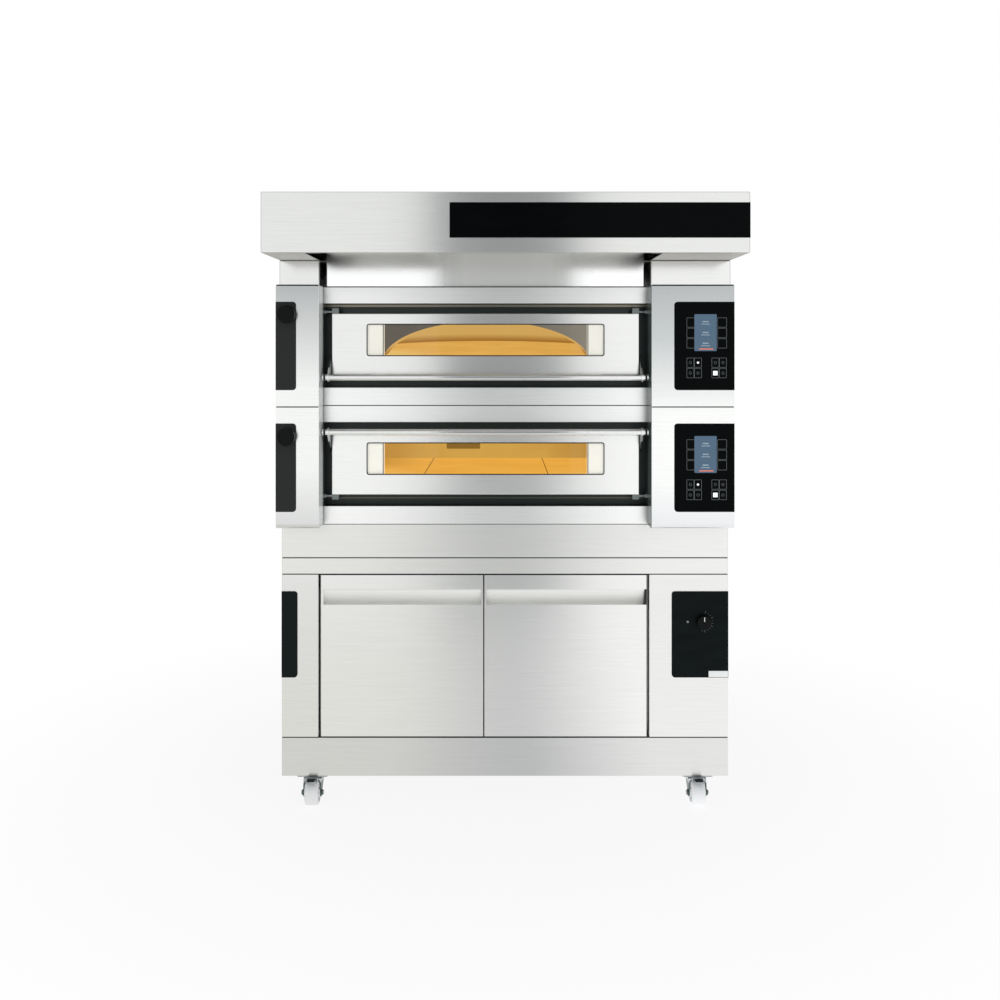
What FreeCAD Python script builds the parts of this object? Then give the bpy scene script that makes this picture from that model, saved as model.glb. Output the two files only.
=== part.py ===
"""Two-deck electric pizza oven on a leavening cabinet with castors, with an extraction hood.

Millimetres, +Z up, front towards -Y. The origin is the middle of the footprint, at floor level.
Each sub-part is written to parts/NAME.step.
"""
import FreeCAD, Part
import os
from FreeCAD import Matrix, Vector

# ---- overall sizes ----
WIDTH = 1360.0            # hood, decks and cabinet are equally wide
BODY_DEPTH = 1000.0       # cabinet front to back
COLUMN_FORWARD = 90.0     # deck columns ahead of the cabinet front
HOOD_FORWARD = 300.0      # hood front ahead of the cabinet front
CASTOR_HEIGHT = 92.0      # floor to the plinth's underside
PLINTH_HEIGHT = 118.0
CABINET_HEIGHT = 497.0    # the storey with the two cabinet doors
TOP_HEIGHT = 50.0         # cabinet top
SPACER_HEIGHT = 103.0
DECK_HEIGHT = 361.0
SUPPORT_HEIGHT = 78.0     # blocks between the upper deck and the hood
HOOD_HEIGHT = 170.0

# ---- sheet metal and general clearances ----
SHEET = 1.5
FOLD = 2.5                # outer radius of a folded edge
COVER = 3.0               # thickness of the black cover plates and of the sign
SLIP = 0.5                # loose gap where a piece passes through a wall
RUN = 0.05                # radial clearance of pins and shafts that turn or slide
FACE_GAP = 0.4            # gap between a moving face and the face it stops at

# ---- cable glands ----
GLAND_OUT = 22.0          # how far a gland stands out of the back
GLAND_BORE = 6.0
GLAND_THREAD = 9.0
GLAND_CAP = 12.0
GLAND_NUT = 15.5
GLAND_INSIDE = 10.0       # thread and lock nut behind the wall
GLAND_FROM_RIGHT = 120.0
GLAND_ABOVE = 60.0        # above the underside of its storey

# ---- planes that everything lines up with ----
HALF = WIDTH / 2
DEPTH = COVER + HOOD_FORWARD + BODY_DEPTH + GLAND_OUT
HOOD_FRONT = -DEPTH / 2 + COVER
FRONT = HOOD_FRONT + HOOD_FORWARD
COLUMN_FRONT = FRONT - COLUMN_FORWARD
BACK = FRONT + BODY_DEPTH
PLINTH_Z = CASTOR_HEIGHT
CABINET_Z = PLINTH_Z + PLINTH_HEIGHT
TOP_Z = CABINET_Z + CABINET_HEIGHT
SPACER_Z = TOP_Z + TOP_HEIGHT
LOWER_Z = SPACER_Z + SPACER_HEIGHT
UPPER_Z = LOWER_Z + DECK_HEIGHT
SUPPORT_Z = UPPER_Z + DECK_HEIGHT
HOOD_Z = SUPPORT_Z + SUPPORT_HEIGHT
HOOD_TOP = HOOD_Z + HOOD_HEIGHT
DECKS = (("lower", LOWER_Z), ("upper", UPPER_Z))

# ---- castors ----
CASTOR_IN = 92.0          # castor centre from the side of the plinth
FRONT_CASTOR_IN = 42.0    # swivel axis behind the plinth front
BACK_CASTOR_IN = 75.0
CASTOR_TRAIL = 28.0
CASTOR_PLATE = (96.0, 76.0, 4.0)
KINGPIN = 5.0
HEAD_RADIUS = 31.0
HEAD_HEIGHT = 7.0
WHEEL_RADIUS = 37.5
WHEEL_WIDTH = 42.0
HUB_RADIUS = 14.0
HUB_WIDTH = 48.0
AXLE_RADIUS = 5.0
AXLE_HEAD = 9.0           # radius of the axle's heads outside the cheeks
CHEEK = 3.0
CHEEK_EYE = 11.0          # cheek round the axle
PEDAL_WIDTH = 30.0
PEDAL_THICK = 4.0
PEDAL_PIN = 2.5
PEDAL_BARREL = 4.8
PEDAL_AHEAD = 6.0         # pedal pin ahead of the swivel head
PEDAL_BEYOND = 8.0        # pedal tip ahead of the wheel
EAR_LAP = 6.0             # ears start this far inside the swivel head's edge
EAR_ROUND_PIN = 4.0       # ear above and beyond the pin

# ---- cabinet ----
CABINET_LEFT_WIDTH = 112.0
CABINET_RIGHT_WIDTH = 241.0
CABINET_DOOR_GAP = 8.0    # door to side casing
CABINET_DOOR_SPLIT = 4.0  # between the two doors
CABINET_DOOR_CLEAR = 3.0  # above and below the doors
CABINET_DOOR_THICK = 40.0
DOOR_LINER = 4.0
LINER_BEHIND = 5.0        # lining starts this far behind the doors
GRIP_BAND = 42.0          # flat band above the grip channel
GRIP_HEIGHT = 48.0        # height of the channel's slanted wall
GRIP_DEPTH = 26.0
GRIP_POCKET = 17.0        # how far the pocket goes down behind the door's front
PIVOT_IN = 12.0           # cabinet door pivot from the door's edge and front
PIVOT_RADIUS = 4.0
PIVOT_LENGTH = 18.0
PIVOT_FLANGE = 7.0
RACK_LEVELS = 7
RACK_PITCH = 60.0
RACK_POST = 14.0
RACK_LEDGE = 16.0
RACK_DEPTH = 620.0
RACK_BEHIND = 60.0        # racks start this far behind the lining's front edge
RACK_FIRST = 56.0         # first ledge above the rack's foot
COVER_TALL = 262.0        # black covers on columns and cabinet
CABINET_COVER_DROP = 52.0 # cabinet covers below the top of the side casings
CABINET_COVER_WIDTH = 48.0
CABINET_PANEL_WIDTH = 172.0
CORNER = 10.0             # rounded corners of the black plates

# ---- decks ----
LEFT_COLUMN_WIDTH = 128.0
RIGHT_COLUMN_WIDTH = 246.0
COLUMN_ROUND = 12.0       # rounded front foot of the lower deck's columns
STRIP_LOW = 54.0          # fascia strip below the door recess
STRIP_HIGH = 50.0         # fascia strip above it
FLANGE = 15.0             # folded edge of the fascia strips
RECESS_DEPTH = 52.0
DOOR_SIDE_GAP = 25.0
DOOR_ABOVE_STRIP = 36.0
DOOR_BELOW_STRIP = 31.0
DOOR_PROUD = 5.0          # door face ahead of the fascia
DOOR_THICK = 50.0
WINDOW_IN = 106.0         # window edge from the door's side
WINDOW_ABOVE = 60.0       # window above the door's lower edge
WINDOW_BELOW = 31.0       # window below the door's upper edge
WINDOW_CORNER = 8.0
GLASS = 4.0
GLASS_LAP = 8.0           # glass behind the skin round the window
CLEAR_IN = 50.0           # see-through part from the window's ends
HINGE_OUT = 6.0           # hinge axis beyond the door's edge
HINGE_IN = 20.0           # hinge axis behind the door's face
HINGE_PIN = 4.0
HINGE_FLANGE = 8.0
LUG = (20.0, 20.0, 16.0)
BAR_RADIUS = 9.5
BAR_WALL = 1.5
BAR_PLUG = 6.0            # closed end of the tube
BAR_OUT = 45.0            # bar centre ahead of the door's face
BAR_BEYOND = 3.0          # bar centre beyond the door's edge
BAR_END_GAP = 3.0         # bar end to column
ARM = 5.0
ARM_TALL = 62.0
ARM_EYE = 13.0
ARM_SLANT = 9.0           # flat sides of the arm's outline round its eye
COVER_ABOVE = 50.0        # black covers above the deck's underside
DECK_COVER_WIDTH = 60.0
PANEL_WIDTH = 178.0
DISPLAY = (66.0, 1.0, 109.0)
DISPLAY_FROM_RIGHT = 53.0
DISPLAY_BELOW = 37.0      # display below the top of its panel

# ---- steam damper ----
KNOB_FROM_SIDE = 34.0
KNOB_BELOW = 38.0         # knob below the top of its cover
KNOB_RADIUS = 26.5
KNOB_LENGTH = 20.0
KNOB_NECK = 20.0
KNOB_NECK_LENGTH = 7.0
ROD = 5.0
DAMPER_TRAVEL = 60.0
DUCT_WIDE = 46.0
DUCT_DEEP = 84.0
DUCT_FROM_BACK = 70.0
DUCT_FROM_COLUMN = 38.0   # duct wall from the column's inner face
DUCT_ABOVE = 6.0          # duct end above the hood's underside
PORT_DEEP = 50.0
PORT_TALL = 60.0
GATE = 2.0
GATE_LAP = 6.0
GATE_SLOT = 4.0

# ---- baking chamber ----
CHAMBER_IN = 43.0         # chamber wall from the column's inner face
CHAMBER_DEPTH = 640.0
CHAMBER_FLOOR_UP = 6.0    # lining floor above the door's lower edge
CHAMBER_CEILING_UP = 14.0 # lining ceiling above the door's upper edge
MOUTH_UP = 28.0           # mouth above the door's lower edge
MOUTH_DOWN = 14.0         # mouth below the door's upper edge
MOUTH_IN = 12.0           # mouth inside the chamber walls
STONE_SUPPORT = 16.0
STONE = 22.0
STONE_GAP = 1.0
SIDE_STONE = 252.0        # width of the lower hearth's outer stones
STONE_SETBACK = 8.0       # stones behind the chamber's front edge
ELEMENT = 4.0             # radius of a heating rod
ELEMENT_BEND = 40.0
ELEMENT_TAIL = 24.0       # how far the rods reach through the wall
HANGER = 6.0
HANGER_WIDE = 4.0
HANGER_IN = 225.0         # hangers from the chamber walls
ELEMENT_MARGIN = 0.22     # rod pairs from the ends, as a share of the depth
LAMP = (122.0, 25.0, 46.0)
LAMP_LEFT = 90.0          # lamp centre left of the chamber's middle
LAMP_BELOW = 78.0         # lamp top below the ceiling
WOOL_GAP = 2.0
WOOL_BACK = 40.0          # air gap behind the insulation

# ---- domed insert of the upper chamber ----
DOME_SHELL = 12.0
DOME_SIDE = 23.0          # dome outside from the chamber wall
DOME_BACK = 38.0
DOME_UNDER = 6.0          # dome top below the heating rods
ARCH_PLATE = 4.0
ARCH_SIDE = 130.0         # arch foot from the chamber wall
ARCH_DROP = 3.0           # arch crown below the dome's inside
HEARTH_FRONT = 12.0       # hearth rises from this height at the front
HEARTH_BACK = 72.0        # to this height at the back

# ---- hood ----
SUPPORT_SETBACK = 55.0    # support blocks behind the column fronts
SUPPORT_LEFT_WIDTH = 120.0
SUPPORT_RIGHT_WIDTH = 240.0
SUPPORT_GAP = 16.0
SUPPORT_PANEL_BACK = 5.0  # centre panel behind the fascia plane
HOOD_LIP = 14.0           # underside left standing behind the hood's front
FILTERS = 3
FILTER_UP = 36.0          # filters above the hood's underside
FILTER_LEDGE = 14.0
FILTER_THICK = 18.0
FILTER_SLOTS = 5
FILTER_SLOT = 12.0
FILTER_FRAME = 18.0
COLLAR_RADIUS = 75.0
COLLAR_FLANGE = 20.0
COLLAR_HEIGHT = 60.0
COLLAR_FROM_BACK = 500.0
SIGN_LEFT = 525.0         # sign starts this far from the hood's left side
SIGN_ABOVE = 42.0
SIGN_TALL = 98.0

# ---- thermostat ----
THERMOSTAT_FROM_RIGHT = 76.0
THERMOSTAT_DOWN = 92.0    # below the top of its panel
THERMOSTAT_RADIUS = 21.5
THERMOSTAT_LENGTH = 20.0
THERMOSTAT_SHAFT = 3.0
THERMOSTAT_TAIL = 15.0
POINTER = (4.0, 3.0)
INDICATOR_LEFT = 48.0     # lamp left of the knob
INDICATOR = 4.0


# ---- small helpers ----
def box(x, y, z):
    """Box from three (low, high) pairs."""
    return Part.makeBox(x[1] - x[0], y[1] - y[0], z[1] - z[0], Vector(x[0], y[0], z[0]))


def grow(span, by):
    """A (low, high) pair made longer by the same amount at both ends."""
    return (span[0] - by, span[1] + by)


def around(centre, size):
    """A (low, high) pair of a given size about its middle."""
    return (centre - size / 2, centre + size / 2)


def middle(span):
    return (span[0] + span[1]) / 2


def rod(axis, start, length, radius):
    """Cylinder from a start point along X, Y or Z."""
    return Part.makeCylinder(radius, length, Vector(*start), Vector(*axis))


ALONG_X = (1, 0, 0)
ALONG_Y = (0, 1, 0)
ALONG_Z = (0, 0, 1)


def fuse(solids):
    """One solid out of several that touch."""
    whole = solids[0].multiFuse(solids[1:])
    return whole.removeSplitter()


def cut(solid, tools):
    for tool in tools:
        solid = solid.cut(tool)
    return solid


def casing(x, y, z, holes=()):
    """Closed sheet-metal casing: folded edges outside, empty inside."""
    outer = box(x, y, z)
    outer = outer.makeFillet(FOLD, outer.Edges)
    shell = outer.cut(box(grow(x, -SHEET), grow(y, -SHEET), grow(z, -SHEET)))
    return cut(shell, holes)


def round_corners(solid, radius, direction, keep=lambda point: True):
    """Rounds the straight edges along one direction whose middle passes the keep test."""
    edges = []
    for edge in solid.Edges:
        start = edge.valueAt(edge.FirstParameter)
        end = edge.valueAt(edge.LastParameter)
        run = end.sub(start)
        along = abs(run.dot(Vector(*direction)))
        if along > 0.999 * run.Length and keep((start + end) * 0.5):
            edges.append(edge)
    return solid.makeFillet(radius, edges)


def prism(points, x):
    """Outline of (y, z) points carried along X."""
    corners = [Vector(x[0], y, z) for y, z in points]
    face = Part.Face(Part.makePolygon(corners + corners[:1]))
    return face.extrude(Vector(x[1] - x[0], 0, 0))


def mirrored(solid, x):
    """Copy of a solid reflected in the plane at this x."""
    return solid.mirror(Vector(x, 0, 0), Vector(1, 0, 0))


def save(name, *solids):
    shape = solids[0] if len(solids) == 1 else Part.makeCompound(list(solids))
    for solid in shape.Solids:
        if not solid.isValid():
            raise ValueError(name + " is not a valid solid")
    shape.exportStep("parts/" + name + ".step")


os.makedirs("parts", exist_ok=True)


# ---- plinth: a closed box that carries the cabinet ----
def plinth():
    save("base_frame", casing((-HALF, HALF), (FRONT, BACK), (PLINTH_Z, CABINET_Z)))


# ---- castors: plate, swivelling fork with its axle, wheel, brake lever on the front pair ----
def castor_places():
    """Name, swivel axis and the side the wheel trails to, for each castor."""
    front = FRONT + FRONT_CASTOR_IN
    back = BACK - BACK_CASTOR_IN
    side = HALF - CASTOR_IN
    return (
        ("front_left", -side, front, -1),
        ("front_right", side, front, -1),
        ("back_left", -side, back, 1),
        ("back_right", side, back, 1),
    )


PLATE_LOW = PLINTH_Z - CASTOR_PLATE[2]
HEAD_TOP = PLATE_LOW - FACE_GAP
CROWN_LOW = HEAD_TOP - HEAD_HEIGHT - CHEEK
FORK_INSIDE = HUB_WIDTH / 2 + FACE_GAP


def castor_plate(x, y):
    plate = box(around(x, CASTOR_PLATE[0]), around(y, CASTOR_PLATE[1]), (PLATE_LOW, PLINTH_Z))
    plate = round_corners(plate, CORNER, ALONG_Z)
    return plate.cut(rod(ALONG_Z, (x, y, PLATE_LOW), CASTOR_PLATE[2], KINGPIN + RUN))


def castor_fork(x, y, trail):
    """Swivel head and kingpin, crown, two cheeks that taper to the axle, and the axle itself."""
    axle_y = y + trail * CASTOR_TRAIL
    head = rod(ALONG_Z, (x, y, HEAD_TOP - HEAD_HEIGHT), HEAD_HEIGHT, HEAD_RADIUS)
    kingpin = rod(ALONG_Z, (x, y, HEAD_TOP), PLINTH_Z - FACE_GAP - HEAD_TOP, KINGPIN)
    reach = FORK_INSIDE + CHEEK
    crown = box(around(x, 2 * reach), around(y, 2 * HEAD_RADIUS), (CROWN_LOW, CROWN_LOW + CHEEK))
    outline = (
        (y - trail * HEAD_RADIUS, CROWN_LOW + CHEEK),
        (y + trail * HEAD_RADIUS, CROWN_LOW + CHEEK),
        (axle_y + trail * CHEEK_EYE, WHEEL_RADIUS + CHEEK_EYE / 2),
        (axle_y + trail * CHEEK_EYE / 2, WHEEL_RADIUS - CHEEK_EYE),
        (axle_y - trail * CHEEK_EYE / 2, WHEEL_RADIUS - CHEEK_EYE),
    )
    cheeks = []
    for low in (x - FORK_INSIDE - CHEEK, x + FORK_INSIDE):
        cheek = prism(outline, (low, low + CHEEK))
        cheeks.append(cheek.cut(rod(ALONG_X, (low, axle_y, WHEEL_RADIUS), CHEEK, AXLE_RADIUS)))
    fork = fuse([head, kingpin, crown] + cheeks)
    axle = rod(ALONG_X, (x - reach, axle_y, WHEEL_RADIUS), 2 * reach, AXLE_RADIUS)
    heads = [
        rod(ALONG_X, (x - reach - CHEEK, axle_y, WHEEL_RADIUS), CHEEK, AXLE_HEAD),
        rod(ALONG_X, (x + reach, axle_y, WHEEL_RADIUS), CHEEK, AXLE_HEAD),
    ]
    return fork, fuse([axle] + heads)


def castor_wheel(x, y, trail):
    """Moulded wheel: rounded tread, thinner web and a hub that keeps it off the cheeks."""
    axle_y = y + trail * CASTOR_TRAIL
    tread = rod(ALONG_X, (x - WHEEL_WIDTH / 2, axle_y, WHEEL_RADIUS), WHEEL_WIDTH, WHEEL_RADIUS)
    tread = tread.makeFillet(WHEEL_WIDTH / 5, tread.Edges)
    hub = rod(ALONG_X, (x - HUB_WIDTH / 2, axle_y, WHEEL_RADIUS), HUB_WIDTH, HUB_RADIUS)
    dish_depth = WHEEL_WIDTH / 4
    dishes = []
    for low in (x - WHEEL_WIDTH / 2, x + WHEEL_WIDTH / 2 - dish_depth):
        dish = rod(ALONG_X, (low, axle_y, WHEEL_RADIUS), dish_depth, WHEEL_RADIUS - WHEEL_WIDTH / 4)
        dishes.append(dish.cut(rod(ALONG_X, (low, axle_y, WHEEL_RADIUS), dish_depth, HUB_RADIUS)))
    wheel = fuse([cut(tread, dishes), hub])
    return wheel.cut(rod(ALONG_X, (x - HUB_WIDTH / 2, axle_y, WHEEL_RADIUS), HUB_WIDTH, AXLE_RADIUS + RUN))


def brake_pivot(y, trail):
    """Where the brake lever turns, ahead of the fork's crown."""
    return (y + trail * (HEAD_RADIUS + PEDAL_AHEAD), CROWN_LOW + CHEEK + PEDAL_PIN)


def castor_brake(x, y, trail):
    """Lever with a barrel at its back that turns on a pin between the crown's ears."""
    pivot_y, pivot_z = brake_pivot(y, trail)
    tip_y = y + trail * (CASTOR_TRAIL + WHEEL_RADIUS + PEDAL_BEYOND)
    span = (min(pivot_y, tip_y), max(pivot_y, tip_y))
    low = pivot_z - PEDAL_THICK / 2
    pedal = box(around(x, PEDAL_WIDTH), span, (low, low + PEDAL_THICK))
    pedal = round_corners(pedal, PEDAL_THICK, ALONG_Z, lambda point: abs(point.y - tip_y) < 1)
    barrel = rod(ALONG_X, (x - PEDAL_WIDTH / 2, pivot_y, pivot_z), PEDAL_WIDTH, PEDAL_BARREL)
    lever = fuse([pedal, barrel])
    return lever.cut(rod(ALONG_X, (x - PEDAL_WIDTH / 2, pivot_y, pivot_z), PEDAL_WIDTH, PEDAL_PIN + RUN))


def brake_ears(x, y, trail):
    """Ears on the fork's crown, with the pin that the lever turns on."""
    pivot_y, pivot_z = brake_pivot(y, trail)
    inside = PEDAL_WIDTH / 2 + FACE_GAP
    start = y + trail * (HEAD_RADIUS - EAR_LAP)
    end = pivot_y + trail * EAR_ROUND_PIN
    span = (min(start, end), max(start, end))
    ears = []
    for low in (x - inside - CHEEK, x + inside):
        ears.append(box((low, low + CHEEK), span, (CROWN_LOW, pivot_z + EAR_ROUND_PIN)))
    pin = rod(ALONG_X, (x - inside - CHEEK, pivot_y, pivot_z), 2 * (inside + CHEEK), PEDAL_PIN)
    return ears + [pin]


def castors():
    plates = []
    for name, x, y, trail in castor_places():
        plates.append(castor_plate(x, y))
        fork, axle = castor_fork(x, y, trail)
        if trail < 0:
            fork = fuse([fork] + brake_ears(x, y, trail))
            save(name + "_castor_brake", castor_brake(x, y, trail))
        save(name + "_castor_fork", fork, axle)
        save(name + "_castor_wheel", castor_wheel(x, y, trail))
    save("castor_plates", *plates)


# ---- cabinet: side casings, lining, tray racks, heater, doors ----
CABINET_OPEN = (-HALF + CABINET_LEFT_WIDTH, HALF - CABINET_RIGHT_WIDTH)
CABINET_DOOR_Z = (CABINET_Z + CABINET_DOOR_CLEAR, TOP_Z - CABINET_DOOR_CLEAR)
LINER_FRONT = FRONT + CABINET_DOOR_THICK + LINER_BEHIND
COVER_Z = (TOP_Z - CABINET_COVER_DROP - COVER_TALL, TOP_Z - CABINET_COVER_DROP)
THERMOSTAT_X = HALF - THERMOSTAT_FROM_RIGHT
THERMOSTAT_Z = COVER_Z[1] - THERMOSTAT_DOWN
GLAND_X = HALF - GLAND_FROM_RIGHT


def gland_hole(z):
    return rod(ALONG_Y, (GLAND_X, BACK - 2 * SHEET, z), 3 * SHEET, GLAND_THREAD)


def cabinet_sides():
    storey = (CABINET_Z, TOP_Z)
    left = casing((-HALF, CABINET_OPEN[0]), (FRONT, BACK), storey)
    shaft = rod(ALONG_Y, (THERMOSTAT_X, FRONT, THERMOSTAT_Z), 2 * SHEET, THERMOSTAT_SHAFT + RUN)
    holes = (shaft, gland_hole(CABINET_Z + GLAND_ABOVE))
    right = casing((CABINET_OPEN[1], HALF), (FRONT, BACK), storey, holes)
    save("prover_left_side", left)
    save("prover_right_side", right)


def cabinet_lining():
    """Folded lining, open at the front, against the side casings."""
    x = CABINET_OPEN
    y = (LINER_FRONT, BACK)
    z = (CABINET_Z, TOP_Z)
    inside = box(grow(x, -SHEET), (y[0], y[1] - SHEET), grow(z, -SHEET))
    save("prover_liner", box(x, y, z).cut(inside))


def tray_rack(x_low, x_high, ledge_left, ledge_right):
    """Two posts joined by ledges; each ledge stands out to one side or both."""
    start = LINER_FRONT + RACK_BEHIND
    foot = CABINET_Z + SHEET
    top = foot + RACK_FIRST + (RACK_LEVELS - 1) * RACK_PITCH + RACK_POST
    pieces = []
    for low in (start, start + RACK_DEPTH - RACK_POST):
        pieces.append(box((x_low, x_high), (low, low + RACK_POST), (foot, top)))
    for level in range(RACK_LEVELS):
        height = foot + RACK_FIRST + level * RACK_PITCH
        ledge = (x_low - RACK_LEDGE * ledge_left, x_high + RACK_LEDGE * ledge_right)
        pieces.append(box(ledge, (start, start + RACK_DEPTH), (height, height + SHEET)))
    return fuse(pieces)


def tray_racks():
    left = CABINET_OPEN[0] + SHEET
    right = CABINET_OPEN[1] - SHEET
    centre = around(middle(CABINET_OPEN), RACK_POST)
    save(
        "tray_racks",
        tray_rack(left, left + RACK_POST, 0, 1),
        tray_rack(centre[0], centre[1], 1, 1),
        tray_rack(right - RACK_POST, right, 1, 0),
    )


def hairpin(end_x, bend_x, y, z, bend, radius):
    """Rod that runs along X, turns back in a half circle, and returns."""
    turn = -1 if bend_x < end_x else 1
    start = Vector(end_x, y - bend, z)
    near = Vector(bend_x, y - bend, z)
    top = Vector(bend_x + turn * bend, y, z)
    far = Vector(bend_x, y + bend, z)
    end = Vector(end_x, y + bend, z)
    path = Part.Wire([
        Part.LineSegment(start, near).toShape(),
        Part.Arc(near, top, far).toShape(),
        Part.LineSegment(far, end).toShape(),
    ])
    section = Part.Wire([Part.Circle(start, Vector(1, 0, 0), radius).toShape()])
    return path.makePipeShell([section], True, False)


def cabinet_heater():
    """Heating rod on the lining's floor, held off it by two cradles."""
    floor = CABINET_Z + SHEET
    z = floor + 2 * ELEMENT + ELEMENT
    y = LINER_FRONT + RACK_BEHIND + RACK_DEPTH / 2
    left = CABINET_OPEN[0] + 2 * RACK_POST + RACK_LEDGE + ELEMENT_BEND
    right = middle(CABINET_OPEN) - RACK_POST - RACK_LEDGE
    heater = hairpin(right, left, y, z, ELEMENT_BEND, ELEMENT)
    cradles = []
    for x in (left + ELEMENT_BEND, right - ELEMENT_BEND):
        cradle = box(around(x, HANGER_WIDE), around(y, 2 * (ELEMENT_BEND + 2 * ELEMENT)), (floor, z))
        cradles.append(cradle)
    save("prover_heater", fuse([heater] + cradles))


def cabinet_top():
    save("prover_top", casing((-HALF, HALF), (FRONT, BACK), (TOP_Z, SPACER_Z)))


def spacer():
    save("spacer", casing((-HALF, HALF), (FRONT, BACK), (SPACER_Z, LOWER_Z)))


CABINET_DOOR_WIDTH = (
    CABINET_OPEN[1] - CABINET_OPEN[0] - 2 * CABINET_DOOR_GAP - CABINET_DOOR_SPLIT
) / 2
LEFT_DOOR_X = (CABINET_OPEN[0] + CABINET_DOOR_GAP, CABINET_OPEN[0] + CABINET_DOOR_GAP + CABINET_DOOR_WIDTH)
PIVOT_Y = FRONT + PIVOT_IN
PIVOT_X = LEFT_DOOR_X[0] + PIVOT_IN


def cabinet_door_left():
    """Front tray with a full-width grip channel under a flat band, and pivot blocks at its hinge side."""
    x = LEFT_DOOR_X
    z = CABINET_DOOR_Z
    back = FRONT + CABINET_DOOR_THICK - DOOR_LINER
    band = z[1] - GRIP_BAND
    lip = band - GRIP_HEIGHT
    pocket = lip - GRIP_POCKET
    inner = FRONT + GRIP_DEPTH
    outline = (
        (FRONT, z[0]),
        (FRONT, lip),
        (FRONT + 2 * SHEET, lip),
        (FRONT + 2 * SHEET, pocket),
        (inner, pocket),
        (inner, lip),
        (FRONT, band),
        (FRONT, z[1]),
        (back, z[1]),
        (back, z[0]),
    )
    solid = prism(outline, x)
    inside_x = grow(x, -SHEET)
    below = box(inside_x, (FRONT + SHEET, back), (z[0] + SHEET, pocket - SHEET))
    behind = box(inside_x, (inner + SHEET, back), (pocket - 2 * SHEET, z[1] - SHEET))
    tray = cut(solid, (below, behind))
    blocks = []
    bores = []
    for low in (z[0], z[1] - PIVOT_LENGTH - PIVOT_RADIUS):
        block_z = (low, low + PIVOT_LENGTH + PIVOT_RADIUS)
        blocks.append(box((x[0], PIVOT_X + PIVOT_IN), (FRONT + SHEET, PIVOT_Y + PIVOT_IN), block_z))
        bores.append(rod(ALONG_Z, (PIVOT_X, PIVOT_Y, low), block_z[1] - low, PIVOT_RADIUS + RUN))
    return cut(fuse([tray] + blocks), bores)


def cabinet_door_liner():
    """Flat inner panel that closes the door tray."""
    y = (FRONT + CABINET_DOOR_THICK - DOOR_LINER, FRONT + CABINET_DOOR_THICK)
    panel = box(LEFT_DOOR_X, y, CABINET_DOOR_Z)
    return round_corners(panel, FOLD, ALONG_Y)


def cabinet_doors():
    centre = middle(CABINET_OPEN)
    door = cabinet_door_left()
    liner = cabinet_door_liner()
    save("prover_left_door", door)
    save("prover_right_door", mirrored(door, centre))
    save("prover_left_door_liner", liner)
    save("prover_right_door_liner", mirrored(liner, centre))


def cabinet_pivots():
    """Flanged pins that stand on the plinth and hang from the cabinet top."""
    gap = CABINET_DOOR_CLEAR - FACE_GAP
    low = fuse([
        rod(ALONG_Z, (PIVOT_X, PIVOT_Y, CABINET_Z), gap, PIVOT_FLANGE),
        rod(ALONG_Z, (PIVOT_X, PIVOT_Y, CABINET_Z), PIVOT_LENGTH, PIVOT_RADIUS),
    ])
    high = fuse([
        rod(ALONG_Z, (PIVOT_X, PIVOT_Y, TOP_Z - gap), gap, PIVOT_FLANGE),
        rod(ALONG_Z, (PIVOT_X, PIVOT_Y, TOP_Z - PIVOT_LENGTH), PIVOT_LENGTH, PIVOT_RADIUS),
    ])
    centre = middle(CABINET_OPEN)
    return [low, high, mirrored(low, centre), mirrored(high, centre)]


def cabinet_controls():
    """Black control panel with a thermostat knob and a small lamp."""
    panel_front = FRONT - COVER
    panel = box((HALF - CABINET_PANEL_WIDTH, HALF), (panel_front, FRONT), COVER_Z)
    panel = round_corners(panel, CORNER, ALONG_Y, lambda point: point.x < HALF - CORNER)
    lamp_x = THERMOSTAT_X - INDICATOR_LEFT
    shaft_hole = rod(ALONG_Y, (THERMOSTAT_X, panel_front, THERMOSTAT_Z), COVER, THERMOSTAT_SHAFT + RUN)
    lamp_hole = rod(ALONG_Y, (lamp_x, panel_front, THERMOSTAT_Z), COVER, INDICATOR)
    save("prover_control_panel", cut(panel, (shaft_hole, lamp_hole)))
    lamp = rod(ALONG_Y, (lamp_x, FRONT - 2 * COVER, THERMOSTAT_Z), 2 * COVER, INDICATOR)
    save("indicator_lamp", round_circle(lamp, FRONT - 2 * COVER, COVER / 2))
    knob_back = panel_front - FACE_GAP
    knob_front = knob_back - THERMOSTAT_LENGTH
    knob = rod(ALONG_Y, (THERMOSTAT_X, knob_front, THERMOSTAT_Z), THERMOSTAT_LENGTH, THERMOSTAT_RADIUS)
    knob = round_circle(knob, knob_front, 2 * SHEET)
    pointer_y = (knob_front - POINTER[1] / 2, knob_front + POINTER[1])
    pointer_z = (THERMOSTAT_Z, THERMOSTAT_Z + THERMOSTAT_RADIUS - 2 * SHEET)
    pointer = box(around(THERMOSTAT_X, POINTER[0]), pointer_y, pointer_z)
    shaft_length = FRONT + THERMOSTAT_TAIL - knob_back
    shaft = rod(ALONG_Y, (THERMOSTAT_X, knob_back, THERMOSTAT_Z), shaft_length, THERMOSTAT_SHAFT)
    save("thermostat_knob", fuse([knob, pointer, shaft]))


def round_circle(solid, y, radius):
    """Rounds the circular edge of a Y cylinder that lies at this y."""
    edges = [edge for edge in solid.Edges if edge.BoundBox.YMin > y - 0.1 and edge.BoundBox.YMax < y + 0.1]
    return solid.makeFillet(radius, edges)


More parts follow.
